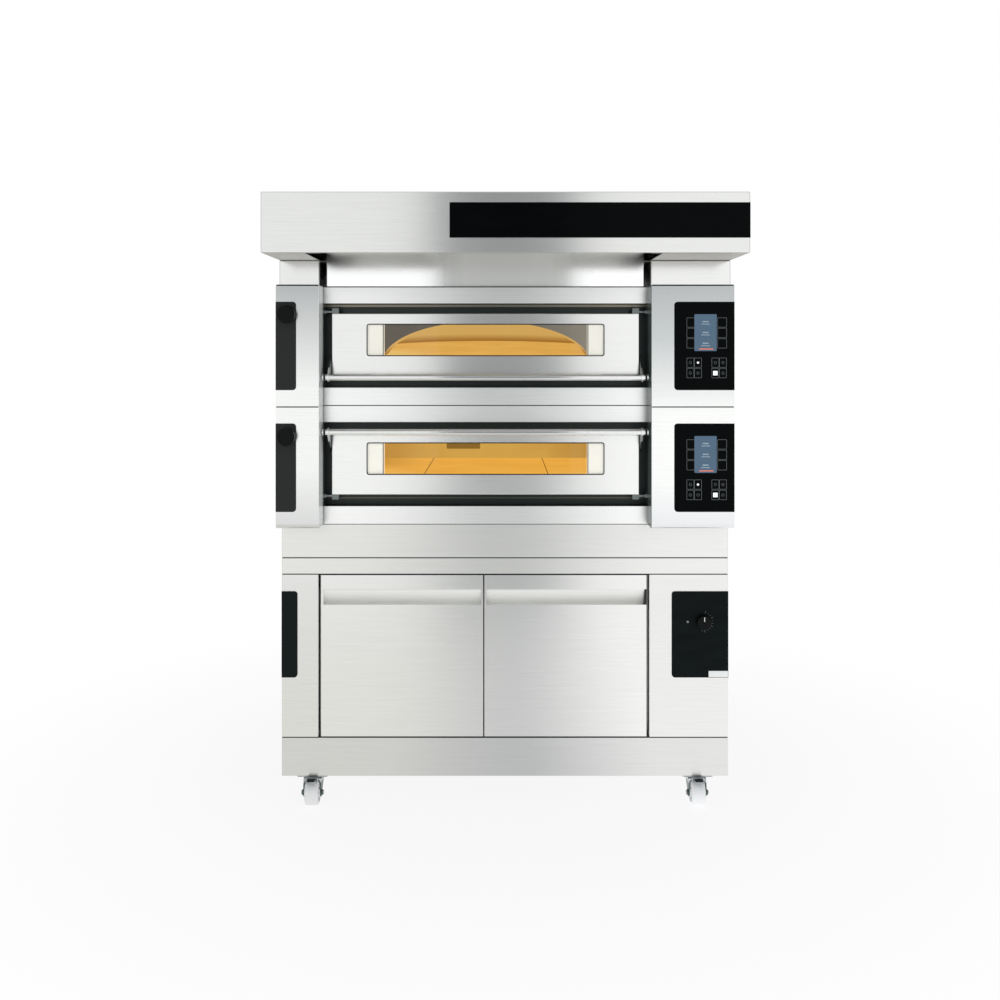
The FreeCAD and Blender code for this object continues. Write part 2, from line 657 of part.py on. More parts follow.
# ---- decks: chassis, sides with columns, door surround ----
OPEN = (-HALF + LEFT_COLUMN_WIDTH, HALF - RIGHT_COLUMN_WIDTH)
DOOR_X = grow(OPEN, -DOOR_SIDE_GAP)
DOOR_FRONT = FRONT - DOOR_PROUD
DOOR_BACK = DOOR_FRONT + DOOR_THICK
RECESS_BACK = FRONT + RECESS_DEPTH
CHAMBER_X = grow(OPEN, -CHAMBER_IN)
CHAMBER_FRONT = RECESS_BACK + SHEET
CHAMBER_Y = (CHAMBER_FRONT, CHAMBER_FRONT + CHAMBER_DEPTH)
CENTRE = middle(OPEN)
DUCT_X = (OPEN[0] - DUCT_FROM_COLUMN - DUCT_WIDE, OPEN[0] - DUCT_FROM_COLUMN)
DUCT_Y = (BACK - DUCT_FROM_BACK - DUCT_DEEP, BACK - DUCT_FROM_BACK)
KNOB_X = -HALF + KNOB_FROM_SIDE


def recess_z(base):
    return (base + STRIP_LOW, base + DECK_HEIGHT - STRIP_HIGH)


def door_z(base):
    low, high = recess_z(base)
    return (low + DOOR_ABOVE_STRIP, high - DOOR_BELOW_STRIP)


def chamber_z(base):
    low, high = door_z(base)
    return (low + CHAMBER_FLOOR_UP, high + CHAMBER_CEILING_UP)


def deck_cover_z(base):
    return (base + COVER_ABOVE, base + COVER_ABOVE + COVER_TALL)


def knob_z(base):
    return deck_cover_z(base)[1] - KNOB_BELOW


def port_z(base):
    """Steam port, centred on the chamber's air space above the hearth."""
    low, high = chamber_z(base)
    return around((low + STONE_SUPPORT + STONE + high) / 2, PORT_TALL)


def port_y():
    return around(middle(DUCT_Y), PORT_DEEP)


def duct_passage(z):
    return box(grow(DUCT_X, SLIP), grow(DUCT_Y, SLIP), z)


def stub_passage(base, x):
    return box(x, grow(port_y(), SHEET), grow(port_z(base), SHEET))


def deck_side(x, base, holes):
    """Side casing of a deck with its column, which stands ahead of the fascia."""
    outer = box(x, (COLUMN_FRONT, BACK), (base, base + DECK_HEIGHT))
    if base == LOWER_Z:
        outer = round_corners(
            outer, COLUMN_ROUND, ALONG_X, lambda point: point.y < FRONT and point.z < base + DECK_HEIGHT / 2
        )
        outer = round_corners(
            outer, FOLD, ALONG_X, lambda point: point.z > base + DECK_HEIGHT / 2
        )
    else:
        outer = round_corners(outer, FOLD, ALONG_X)
    inside = box(
        grow(x, -SHEET),
        (COLUMN_FRONT + SHEET, BACK - SHEET),
        (base + COLUMN_ROUND, base + DECK_HEIGHT - SHEET),
    )
    floor_pocket = box(
        grow(x, -SHEET),
        (COLUMN_FRONT + COLUMN_ROUND, BACK - SHEET),
        (base + SHEET, base + COLUMN_ROUND + SHEET),
    )
    return cut(outer, [inside, floor_pocket] + list(holes))


def deck_sides():
    left = []
    right = []
    for name, base in DECKS:
        rod_hole = rod(ALONG_Y, (KNOB_X, COLUMN_FRONT, knob_z(base)), 2 * SHEET, ROD + RUN)
        stub_hole = stub_passage(base, grow((OPEN[0] - SHEET, OPEN[0]), SHEET))
        passages = [rod_hole, stub_hole, duct_passage((base + DECK_HEIGHT - 2 * SHEET, base + DECK_HEIGHT))]
        if base == UPPER_Z:
            passages.append(duct_passage((base, base + COLUMN_ROUND)))
        left.append(deck_side((-HALF, OPEN[0]), base, passages))
        right.append(deck_side((OPEN[1], HALF), base, [gland_hole(base + GLAND_ABOVE)]))
    save("deck_left_sides", *left)
    save("deck_right_sides", *right)


def deck_chassis():
    """Floor, back and roof of each deck, folded from one sheet."""
    solids = []
    for name, base in DECKS:
        z = (base, base + DECK_HEIGHT)
        y = (FRONT + SHEET, BACK)
        inside = box(OPEN, (y[0], y[1] - SHEET), grow(z, -SHEET))
        solids.append(box(OPEN, y, z).cut(inside))
    save("deck_chassis", *solids)


def mouth(base):
    low, high = door_z(base)
    y = grow((RECESS_BACK, RECESS_BACK + SHEET), 1.0)
    opening = box(grow(CHAMBER_X, -MOUTH_IN), y, (low + MOUTH_UP, high - MOUTH_DOWN))
    return round_corners(opening, WINDOW_CORNER, ALONG_Y)


def door_surrounds():
    """Fascia strips above and below the door, folded back into a recess with the chamber mouth."""
    solids = []
    for name, base in DECKS:
        z = (base + SHEET, base + DECK_HEIGHT - SHEET)
        recess = recess_z(base)
        front = box(OPEN, (FRONT, FRONT + SHEET), (base, base + DECK_HEIGHT))
        front = round_corners(front, SHEET / 2, ALONG_X, lambda point: point.y < FRONT + SHEET / 2)
        trough = box(OPEN, (FRONT + SHEET, RECESS_BACK + SHEET), grow(recess, SHEET))
        lips = []
        for low in (z[0], z[1] - SHEET):
            lips.append(box(OPEN, (FRONT + SHEET, FRONT + FLANGE), (low, low + SHEET)))
        whole = fuse([front, trough] + lips)
        hollow = box(grow(OPEN, 1.0), (FRONT - 1.0, RECESS_BACK), recess)
        solids.append(cut(whole, (hollow, mouth(base))))
    save("door_surrounds", *solids)


# ---- baking chambers ----
def element_rows():
    """Middle of each pair of heating rods, front and back."""
    margin = ELEMENT_MARGIN * CHAMBER_DEPTH
    return (CHAMBER_Y[0] + margin, CHAMBER_Y[1] - margin)


def element_heights(base):
    floor, ceiling = chamber_z(base)
    return (floor + ELEMENT, ceiling - HANGER - ELEMENT)


def chamber(base):
    """Steel lining, open at the front, with stone bearers on its floor and hangers on its ceiling."""
    x = CHAMBER_X
    z = chamber_z(base)
    outer = box(grow(x, SHEET), (CHAMBER_Y[0], CHAMBER_Y[1] + SHEET), grow(z, SHEET))
    shell = outer.cut(box(x, CHAMBER_Y, z))
    pieces = [shell]
    for share in (0.0, 1 / 3, 2 / 3, 1.0):
        low = x[0] + share * (x[1] - x[0] - HANGER_WIDE)
        pieces.append(box((low, low + HANGER_WIDE), CHAMBER_Y, (z[0], z[0] + STONE_SUPPORT)))
    for low in (x[0] + HANGER_IN, x[1] - HANGER_IN):
        pieces.append(box((low, low + HANGER_WIDE), CHAMBER_Y, (z[1] - HANGER, z[1])))
    holes = []
    for row in element_rows():
        for height in element_heights(base):
            for leg in (row - ELEMENT_BEND, row + ELEMENT_BEND):
                start = x[0] + ELEMENT_BEND + 2 * ELEMENT
                holes.append(rod(ALONG_X, (start, leg, height), x[1] - start + ELEMENT_TAIL, ELEMENT + RUN))
    holes.append(stub_passage(base, (x[0] - 2 * SHEET, x[0] + SHEET)))
    return cut(fuse(pieces), holes)


def heating_elements():
    """Hairpin rods: two under the hearth and two under the ceiling of each chamber."""
    rods = []
    for name, base in DECKS:
        for row in element_rows():
            for height in element_heights(base):
                tail = CHAMBER_X[1] + ELEMENT_TAIL
                bend = CHAMBER_X[0] + ELEMENT_BEND + 3 * ELEMENT + HANGER_WIDE
                rods.append(hairpin(tail, bend, row, height, ELEMENT_BEND, ELEMENT))
    save("heating_elements", *rods)


def stone_top(base):
    return chamber_z(base)[0] + STONE_SUPPORT + STONE


def hearth_stones():
    """Three slabs in the lower chamber, two in the upper one."""
    slabs = []
    layouts = {
        LOWER_Z: (CHAMBER_X[0], CHAMBER_X[0] + SIDE_STONE, CHAMBER_X[1] - SIDE_STONE, CHAMBER_X[1]),
        UPPER_Z: (CHAMBER_X[0], CENTRE, CHAMBER_X[1]),
    }
    y = (CHAMBER_Y[0] + STONE_SETBACK, CHAMBER_Y[1] - STONE_GAP)
    for base, edges in layouts.items():
        top = stone_top(base)
        for left, right in zip(edges, edges[1:]):
            slab = box(grow((left, right), -STONE_GAP / 2), y, (top - STONE, top))
            slabs.append(slab.makeChamfer(1.0, slab.Edges))
    save("hearth_stones", *slabs)


def chamber_lamps():
    """Lamp box on the back wall of each chamber."""
    lamps = []
    for name, base in DECKS:
        top = chamber_z(base)[1] - LAMP_BELOW
        lamp = box(
            around(CENTRE - LAMP_LEFT, LAMP[0]), (CHAMBER_Y[1] - LAMP[1], CHAMBER_Y[1]), (top - LAMP[2], top)
        )
        lamps.append(round_corners(lamp, 2 * FOLD, ALONG_Z, lambda point: point.y < CHAMBER_Y[1] - 1))
    save("chamber_lamps", *lamps)


def insulation():
    """Mineral wool round each lining, with room for the rod ends and the steam stub."""
    blocks = []
    for name, base in DECKS:
        z = grow(recess_z(base), FLANGE)
        wool = box(grow(OPEN, -WOOL_GAP), (CHAMBER_Y[0] + WOOL_GAP, BACK - WOOL_BACK), z)
        lining = box(
            grow(CHAMBER_X, SHEET), (CHAMBER_Y[0], CHAMBER_Y[1] + SHEET), grow(chamber_z(base), SHEET)
        )
        terminals = box(
            (CHAMBER_X[1], OPEN[1] - WOOL_GAP), grow(CHAMBER_Y, -ELEMENT_BEND), chamber_z(base)
        )
        blocks.append(cut(wool, (lining, terminals, stub_passage(base, (OPEN[0], CHAMBER_X[0])))))
    save("insulation", *blocks)


# ---- domed insert ----
def ellipsoid(centre, radii):
    ball = Part.makeSphere(1.0)
    stretch = Matrix()
    stretch.scale(Vector(*radii))
    stretched = ball.transformGeometry(stretch)
    stretched.translate(Vector(*centre))
    return stretched


def vault(half_width, height, y, base):
    """Half-elliptic barrel along Y."""
    barrel = Part.makeCylinder(1.0, y[1] - y[0], Vector(0, 0, 0), Vector(0, 1, 0))
    stretch = Matrix()
    stretch.scale(Vector(half_width, 1.0, height))
    stretched = barrel.transformGeometry(stretch)
    stretched.translate(Vector(CENTRE, y[0], base))
    return stretched


def dome_insert():
    """Arch plate behind the mouth, refractory dome behind it, and a hearth that rises to the back."""
    base = stone_top(UPPER_Z)
    outer_top = element_heights(UPPER_Z)[1] - ELEMENT - DOME_UNDER
    front = CHAMBER_Y[0] + STONE_SETBACK
    plate_back = front + ARCH_PLATE
    half_width = (CHAMBER_X[1] - CHAMBER_X[0]) / 2 - DOME_SIDE
    back = CHAMBER_Y[1] - DOME_BACK
    half_depth = (back - plate_back) / 2
    centre = (CENTRE, middle((plate_back, back)), base)
    height = outer_top - base
    arch_half = (CHAMBER_X[1] - CHAMBER_X[0]) / 2 - ARCH_SIDE
    arch_height = height - DOME_SHELL - ARCH_DROP
    above = box(CHAMBER_X, (plate_back, back), (base, outer_top))
    outside = ellipsoid(centre, (half_width, half_depth, height)).fuse(
        vault(arch_half + DOME_SHELL, arch_height + DOME_SHELL, (plate_back, centre[1]), base)
    )

    def inside(clearance):
        wall = DOME_SHELL + clearance
        ball = ellipsoid(centre, (half_width - wall, half_depth - wall, height - wall))
        arch = vault(arch_half - clearance, arch_height - clearance, (plate_back, centre[1]), base)
        return ball.fuse(arch).common(above)

    shell = outside.common(above).cut(inside(0.0))
    plate = box(grow(CHAMBER_X, -SLIP), (front, plate_back), (base, chamber_z(UPPER_Z)[1] - HANGER - SLIP))
    plate = plate.cut(vault(arch_half, arch_height, grow((front, plate_back), 1.0), base))
    wedge = prism(
        (
            (plate_back, base),
            (plate_back, base + HEARTH_FRONT),
            (back, base + HEARTH_BACK),
            (back, base),
        ),
        CHAMBER_X,
    )
    seam = box(around(CENTRE, STONE_GAP), (front, back), (base, outer_top))
    floor = inside(SLIP).common(wedge).cut(seam)
    save("dome_insert", plate, *(shell.Solids + floor.Solids))


# ---- steam duct and dampers ----
def steam_duct():
    """Duct that rises through the left sides into the hood, and a stub from each chamber."""
    z = (LOWER_Z + COLUMN_ROUND + SHEET, HOOD_Z + DUCT_ABOVE)
    duct = box(DUCT_X, DUCT_Y, z).cut(box(grow(DUCT_X, -SHEET), grow(DUCT_Y, -SHEET), grow(z, 1.0)))
    stubs = []
    for name, base in DECKS:
        duct = duct.cut(box((DUCT_X[1] - 2 * SHEET, DUCT_X[1] + SHEET), port_y(), port_z(base)))
        x = (DUCT_X[1] + GATE_SLOT, CHAMBER_X[0])
        stub = box(x, grow(port_y(), SHEET), grow(port_z(base), SHEET))
        stubs.append(stub.cut(box(grow(x, 1.0), port_y(), port_z(base))))
    save("flue_duct", duct, *stubs)


def dampers():
    """Knob, and a rod that carries a gate plate across the steam port; shown pushed in."""
    cover_front = COLUMN_FRONT - COVER
    neck_back = cover_front - FACE_GAP
    knob_back = neck_back - KNOB_NECK_LENGTH
    knob_front = knob_back - KNOB_LENGTH
    gate_x = around(DUCT_X[1] + GATE_SLOT / 2, GATE)
    gate_y = grow(port_y(), GATE_LAP)
    crank_y = (DUCT_Y[0] - GATE_SLOT - 2 * ROD, DUCT_Y[0] - GATE_SLOT)
    for name, base in DECKS:
        z = knob_z(base)
        head = rod(ALONG_Y, (KNOB_X, knob_front, z), KNOB_LENGTH, KNOB_RADIUS)
        head = head.makeFillet(2 * SHEET, head.Edges)
        neck = rod(ALONG_Y, (KNOB_X, knob_back, z), KNOB_NECK_LENGTH, KNOB_NECK)
        socket_start = knob_front + KNOB_LENGTH / 2
        socket = rod(ALONG_Y, (KNOB_X, socket_start, z), neck_back - socket_start, ROD)
        save(name + "_damper_knob", fuse([head, neck]).cut(socket))
        plate = box(gate_x, gate_y, grow(port_z(base), GATE_LAP))
        shaft = rod(ALONG_Y, (KNOB_X, socket_start, z), crank_y[0] - socket_start, ROD)
        crank = box((KNOB_X - ROD, gate_x[1]), crank_y, (z - ROD, z + ROD))
        drop = box(gate_x, (crank_y[0], gate_y[0]), (port_z(base)[0], z + ROD))
        save(name + "_damper_rod", fuse([shaft, crank, drop, plate]))


# ---- black covers, control panels and displays ----
def left_covers():
    """Black covers on the left columns and on the cabinet's left side."""
    covers = []
    for name, base in DECKS:
        x = (-HALF, -HALF + DECK_COVER_WIDTH)
        cover = box(x, (COLUMN_FRONT - COVER, COLUMN_FRONT), deck_cover_z(base))
        cover = round_corners(cover, CORNER, ALONG_Y, lambda point: point.x > -HALF + CORNER)
        hole = rod(ALONG_Y, (KNOB_X, COLUMN_FRONT - COVER, knob_z(base)), COVER, ROD + RUN)
        covers.append(cover.cut(hole))
    cover = box((-HALF, -HALF + CABINET_COVER_WIDTH), (FRONT - COVER, FRONT), COVER_Z)
    covers.append(round_corners(cover, CORNER, ALONG_Y, lambda point: point.x > -HALF + CORNER))
    save("left_covers", *covers)


def deck_controls():
    panels = []
    displays = []
    for name, base in DECKS:
        z = deck_cover_z(base)
        front = COLUMN_FRONT - COVER
        panel = box((HALF - PANEL_WIDTH, HALF), (front, COLUMN_FRONT), z)
        panels.append(round_corners(panel, CORNER, ALONG_Y, lambda point: point.x < HALF - CORNER))
        right = HALF - DISPLAY_FROM_RIGHT
        top = z[1] - DISPLAY_BELOW
        display = box((right - DISPLAY[0], right), (front - DISPLAY[1], front), (top - DISPLAY[2], top))
        displays.append(round_corners(display, FOLD, ALONG_Y))
    save("control_panels", *panels)
    save("displays", *displays)


# ---- oven doors ----
def window(base, extra, y):
    low, high = door_z(base)
    x = grow(DOOR_X, -WINDOW_IN)
    return box(grow(x, extra), y, grow((low + WINDOW_ABOVE, high - WINDOW_BELOW), extra))


def oven_door(name, base, hinge_up):
    """Skin, inner frame, glass and handle. hinge_up is 1 with the hinge at the top, -1 at the bottom."""
    low, high = door_z(base)
    skin_back = DOOR_FRONT + SHEET
    glass_back = skin_back + GLASS
    skin = box(DOOR_X, (DOOR_FRONT, DOOR_BACK), (low, high))
    skin = round_front(skin, DOOR_FRONT, FOLD)
    skin = skin.cut(box(grow(DOOR_X, -SHEET), (skin_back, DOOR_BACK), grow((low, high), -SHEET)))
    hole = round_corners(window(base, 0.0, grow((DOOR_FRONT, skin_back), 1.0)), WINDOW_CORNER, ALONG_Y)
    skin = skin.cut(hole)
    edge = high if hinge_up > 0 else low
    axis_y = DOOR_FRONT + HINGE_IN
    axis_z = edge + hinge_up * HINGE_OUT
    lug_z = (high, high + LUG[2]) if hinge_up > 0 else (low - LUG[2], low)
    lugs = []
    for x in ((DOOR_X[0], DOOR_X[0] + LUG[0]), (DOOR_X[1] - LUG[0], DOOR_X[1])):
        lug = box(x, around(axis_y, LUG[1]), lug_z)
        lugs.append(lug.cut(rod(ALONG_X, (x[0], axis_y, axis_z), LUG[0], HINGE_PIN + RUN)))
    save(name + "_door_panel", fuse([skin] + lugs))

    frame_x = grow(DOOR_X, -SHEET)
    frame_y = (glass_back, DOOR_BACK)
    frame_z = grow((low, high), -SHEET)
    wide = grow(grow(DOOR_X, -WINDOW_IN), -CLEAR_IN)
    sight_z = (low + WINDOW_ABOVE - GLASS_LAP, high - WINDOW_BELOW + GLASS_LAP)
    sight = box(wide, grow(frame_y, 1.0), sight_z)
    solid = box(frame_x, frame_y, frame_z)
    empty = box(grow(frame_x, -SHEET), grow(frame_y, -SHEET), grow(frame_z, -SHEET))
    wall = box(grow(wide, SHEET), frame_y, grow(sight_z, SHEET))
    frame = cut(solid, (empty.cut(wall), sight))
    save(name + "_door_frame", frame)

    save(name + "_door_glass", window(base, GLASS_LAP, (skin_back, glass_back)))
    save(name + "_door_handle", *door_handle(low, high, hinge_up))


def round_front(solid, y, radius):
    """Rounds the edges that lie in the front plane."""
    edges = [edge for edge in solid.Edges if edge.BoundBox.YMax < y + 0.1]
    return solid.makeFillet(radius, edges)


def door_handle(low, high, hinge_up):
    """Tube across the opening, carried by an arm on each side of the door."""
    edge = low if hinge_up > 0 else high
    bar_y = DOOR_FRONT - BAR_OUT
    bar_z = edge - hinge_up * BAR_BEYOND
    ends = grow(OPEN, -BAR_END_GAP)
    length = ends[1] - ends[0]
    bar = rod(ALONG_X, (ends[0], bar_y, bar_z), length, BAR_RADIUS)
    bore_start = (ends[0] + BAR_PLUG, bar_y, bar_z)
    hollow = rod(ALONG_X, bore_start, length - 2 * BAR_PLUG, BAR_RADIUS - BAR_WALL)
    pieces = [bar.cut(hollow)]
    top = edge + hinge_up * ARM_TALL
    back = DOOR_FRONT + HINGE_IN
    outline = (
        (bar_y - ARM_SLANT, bar_z + hinge_up * ARM_SLANT),
        (DOOR_FRONT + FOLD, top),
        (back, top),
        (back, edge),
        (bar_y, bar_z - hinge_up * ARM_EYE),
        (bar_y - ARM_SLANT, bar_z - hinge_up * ARM_SLANT),
    )
    for x in ((DOOR_X[0] - ARM, DOOR_X[0]), (DOOR_X[1], DOOR_X[1] + ARM)):
        plate = prism(outline, x)
        eye = rod(ALONG_X, (x[0], bar_y, bar_z), ARM, ARM_EYE)
        pieces.append(fuse([plate, eye]).cut(rod(ALONG_X, (x[0], bar_y, bar_z), ARM, BAR_RADIUS)))
    return pieces


def hinge_pins():
    """Pins on the column walls for the oven doors, and the cabinet door pivots."""
    pins = []
    for (name, base), hinge_up in zip(DECKS, (-1, 1)):
        low, high = door_z(base)
        edge = high if hinge_up > 0 else low
        y = DOOR_FRONT + HINGE_IN
        z = edge + hinge_up * HINGE_OUT
        reach = DOOR_SIDE_GAP + LUG[0] - 2 * FACE_GAP
        flange = DOOR_SIDE_GAP - ARM - 2 * FACE_GAP
        left = fuse([
            rod(ALONG_X, (OPEN[0], y, z), reach, HINGE_PIN),
            rod(ALONG_X, (OPEN[0], y, z), flange / 3, HINGE_FLANGE),
        ])
        pins += [left, mirrored(left, CENTRE)]
    save("hinge_pins", *(pins + cabinet_pivots()))


# ---- hood ----
SUPPORT_LEFT = (-HALF, -HALF + SUPPORT_LEFT_WIDTH)
SUPPORT_RIGHT = (HALF - SUPPORT_RIGHT_WIDTH, HALF)
INTAKE_X = (SUPPORT_LEFT[1], SUPPORT_RIGHT[0])
SUPPORT_PANEL_Y = (FRONT + SUPPORT_PANEL_BACK, FRONT + SUPPORT_PANEL_BACK + SHEET)
INTAKE_Y = (HOOD_FRONT + HOOD_LIP, SUPPORT_PANEL_Y[1] + SLIP)
COLLAR_Y = BACK - COLLAR_FROM_BACK


def hood_support():
    """Two side blocks and a centre panel that carry the hood; the panel rises into it up to the filters."""
    z = (SUPPORT_Z, HOOD_Z)
    y = (COLUMN_FRONT + SUPPORT_SETBACK, BACK)
    duct = duct_passage(grow(z, 1.0))
    centre_x = grow(INTAKE_X, -SUPPORT_GAP)
    centre = casing(centre_x, (SUPPORT_PANEL_Y[0], BACK), z)
    riser = box(centre_x, SUPPORT_PANEL_Y, (HOOD_Z - 2 * FOLD, HOOD_Z + FILTER_UP))
    left = casing(SUPPORT_LEFT, y, z, (duct,))
    right = casing(SUPPORT_RIGHT, y, z)
    save("hood_support", left, right, fuse([centre, riser]))


def hood_shell():
    """Hood with its underside open between the support blocks, and a ledge for the filters inside."""
    z = (HOOD_Z, HOOD_TOP)
    holes = (
        box(INTAKE_X, INTAKE_Y, (HOOD_Z - 1.0, HOOD_Z + 2 * SHEET)),
        rod(ALONG_Z, (0, COLLAR_Y, HOOD_TOP - 2 * SHEET), 3 * SHEET, COLLAR_RADIUS - SHEET),
        duct_passage((HOOD_Z - 1.0, HOOD_Z + 2 * SHEET)),
    )
    shell = casing((-HALF, HALF), (HOOD_FRONT, BACK), z, holes)
    ledge_y = (HOOD_FRONT + SHEET / 2, HOOD_FRONT + FILTER_LEDGE)
    ledge = box(INTAKE_X, ledge_y, (HOOD_Z + FILTER_UP - SHEET, HOOD_Z + FILTER_UP))
    save("hood_shell", fuse([shell, ledge]))


def hood_filters():
    """Slotted grease filters that lie on the hood's ledge and on the centre panel's upper edge."""
    y = (HOOD_FRONT + SHEET + SLIP, SUPPORT_PANEL_Y[1])
    z = (HOOD_Z + FILTER_UP, HOOD_Z + FILTER_UP + FILTER_THICK)
    width = (INTAKE_X[1] - INTAKE_X[0]) / FILTERS
    pitch = (y[1] - y[0] - 2 * FILTER_FRAME) / FILTER_SLOTS
    filters = []
    for index in range(FILTERS):
        low = INTAKE_X[0] + index * width
        span = (low, low + width - SLIP)
        panel = box(span, y, z)
        slots = []
        for row in range(FILTER_SLOTS):
            slot_y = around(y[0] + FILTER_FRAME + (row + 0.5) * pitch, FILTER_SLOT)
            slots.append(box(grow(span, -FILTER_FRAME), slot_y, z))
        filters.append(cut(panel, slots))
    save("hood_filters", *filters)


def hood_sign():
    x = (-HALF + SIGN_LEFT, HALF)
    z = (HOOD_Z + SIGN_ABOVE, HOOD_Z + SIGN_ABOVE + SIGN_TALL)
    save("sign_panel", box(x, (HOOD_FRONT - COVER, HOOD_FRONT), z))


def flue_collar():
    """Flanged spigot for the extraction pipe."""
    centre = (0, COLLAR_Y, HOOD_TOP)
    collar = fuse([
        rod(ALONG_Z, centre, COLLAR_HEIGHT, COLLAR_RADIUS),
        rod(ALONG_Z, centre, SHEET, COLLAR_RADIUS + COLLAR_FLANGE),
    ])
    save("flue_collar", collar.cut(rod(ALONG_Z, centre, COLLAR_HEIGHT, COLLAR_RADIUS - SHEET)))


# ---- cable glands ----
def cable_glands():
    """One gland for each deck and one for the cabinet, through the back of the right side."""
    glands = []
    for z in (CABINET_Z + GLAND_ABOVE, LOWER_Z + GLAND_ABOVE, UPPER_Z + GLAND_ABOVE):
        thread = rod(ALONG_Y, (GLAND_X, BACK - GLAND_INSIDE, z), GLAND_INSIDE, GLAND_THREAD)
        flange = rod(ALONG_Y, (GLAND_X, BACK, z), GLAND_OUT / 3, GLAND_NUT)
        cap = rod(ALONG_Y, (GLAND_X, BACK, z), GLAND_OUT, GLAND_CAP)
        cap = round_circle(cap, BACK + GLAND_OUT, GLAND_CAP / 4)
        whole = fuse([thread, flange, cap])
        bore = rod(ALONG_Y, (GLAND_X, BACK - GLAND_INSIDE, z), GLAND_INSIDE + GLAND_OUT, GLAND_BORE)
        glands.append(whole.cut(bore))
    save("cable_glands", *glands)


plinth()
castors()
cabinet_sides()
cabinet_lining()
tray_racks()
cabinet_heater()
cabinet_top()
spacer()
cabinet_doors()
cabinet_controls()
deck_sides()
deck_chassis()
door_surrounds()
for deck_name, deck_base in DECKS:
    save(deck_name + "_chamber", chamber(deck_base))
heating_elements()
hearth_stones()
chamber_lamps()
insulation()
dome_insert()
steam_duct()
dampers()
left_covers()
deck_controls()
oven_door("lower", LOWER_Z, -1)
oven_door("upper", UPPER_Z, 1)
hinge_pins()
hood_support()
hood_shell()
hood_filters()
hood_sign()
flue_collar()
cable_glands()
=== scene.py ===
import math

import bmesh
import bpy
from mathutils import Matrix, Vector


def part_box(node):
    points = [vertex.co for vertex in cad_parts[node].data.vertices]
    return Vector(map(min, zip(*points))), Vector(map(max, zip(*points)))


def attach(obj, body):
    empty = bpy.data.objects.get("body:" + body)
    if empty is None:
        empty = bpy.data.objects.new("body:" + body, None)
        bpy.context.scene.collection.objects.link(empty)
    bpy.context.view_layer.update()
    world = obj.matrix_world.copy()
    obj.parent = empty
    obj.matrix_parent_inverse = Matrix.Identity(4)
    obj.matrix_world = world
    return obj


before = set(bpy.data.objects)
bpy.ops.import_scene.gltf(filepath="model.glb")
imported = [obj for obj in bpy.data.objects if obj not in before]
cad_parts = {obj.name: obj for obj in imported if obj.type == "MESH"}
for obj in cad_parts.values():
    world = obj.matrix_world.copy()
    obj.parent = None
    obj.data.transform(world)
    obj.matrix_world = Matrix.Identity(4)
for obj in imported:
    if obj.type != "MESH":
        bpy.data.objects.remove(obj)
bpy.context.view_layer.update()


# ---- camera ----
# The oven is seen square on, from a standing person's eye height about 3.4 m away. The lens is shifted
# down so that the uprights stay parallel.
CAMERA_ASIDE = -0.015
CAMERA_DISTANCE = 3.385
CAMERA_HEIGHT = 1.39
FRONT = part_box("prover_top")[0].y
lens = bpy.data.cameras.new("front_camera")
lens.lens = 40.0
lens.sensor_width = 36.0
lens.shift_y = -0.15
camera = bpy.data.objects.new("front_camera", lens)
camera.location = (CAMERA_ASIDE, FRONT - CAMERA_DISTANCE, CAMERA_HEIGHT)
camera.rotation_euler = (math.radians(90), 0, 0)
bpy.context.scene.collection.objects.link(camera)
bpy.context.scene.camera = camera
bpy.context.scene.view_settings.view_transform = "Standard"


# ---- studio ----
# A pale room: two square softboxes beside the camera with a gap between them, which the steel mirrors as
# a soft grey band, one lamp overhead, a bright surround and a white floor. What the steel mirrors of the
# floor is a little greyer in the middle, as between two lamps.
FAR_GREY = "#989B9C"


def linear(code, alpha=1.0):
    """sRGB hex colour as linear RGBA."""
    channels = [int(code[i:i + 2], 16) / 255 for i in (1, 3, 5)]
    return tuple(c / 12.92 if c <= 0.04045 else ((c + 0.055) / 1.055) ** 2.4 for c in channels) + (alpha,)


def add(tree, kind, feeds=None, **settings):
    """Adds a node with its settings; feeds maps an input to a socket, a number or a colour."""
    made = tree.nodes.new(kind)
    for name, value in settings.items():
        setattr(made, name, value)
    for key, value in (feeds or {}).items():
        if isinstance(value, bpy.types.NodeSocket):
            tree.links.new(value, made.inputs[key])
        else:
            made.inputs[key].default_value = value
    return made


def spot(tree):
    """Object coordinates, in metres."""
    return add(tree, "ShaderNodeTexCoord").outputs["Object"]


def spread(tree, value, low, high, start=0.0, end=1.0):
    """Maps low..high to start..end and holds the ends."""
    return add(tree, "ShaderNodeMapRange", {0: value, 1: low, 2: high, 3: start, 4: end}).outputs[0]


def mix(tree, share, first, second):
    """Colour that goes from the first to the second as share goes from 0 to 1."""
    return add(tree, "ShaderNodeMix", {0: share, 6: first, 7: second}, data_type="RGBA").outputs[2]


def noise(tree, where, scale, detail=3.0, roughness=0.55):
    """Cloudy pattern between 0 and 1, with scale as its cells in a metre."""
    return add(
        tree, "ShaderNodeTexNoise", {0: where, "Scale": scale, "Detail": detail, "Roughness": roughness}
    ).outputs[0]


def softbox(name, centre, target, width, height, radiance):
    """Rectangular lamp, evenly bright, aimed at the target."""
    light = bpy.data.lights.new(name, "AREA")
    light.shape = "RECTANGLE"
    light.size = width
    light.size_y = height
    light.energy = radiance * width * height * math.pi
    lamp = bpy.data.objects.new(name, light)
    lamp.location = centre
    lamp.rotation_euler = (Vector(target) - Vector(centre)).to_track_quat("-Z", "Y").to_euler()
    bpy.context.scene.collection.objects.link(lamp)


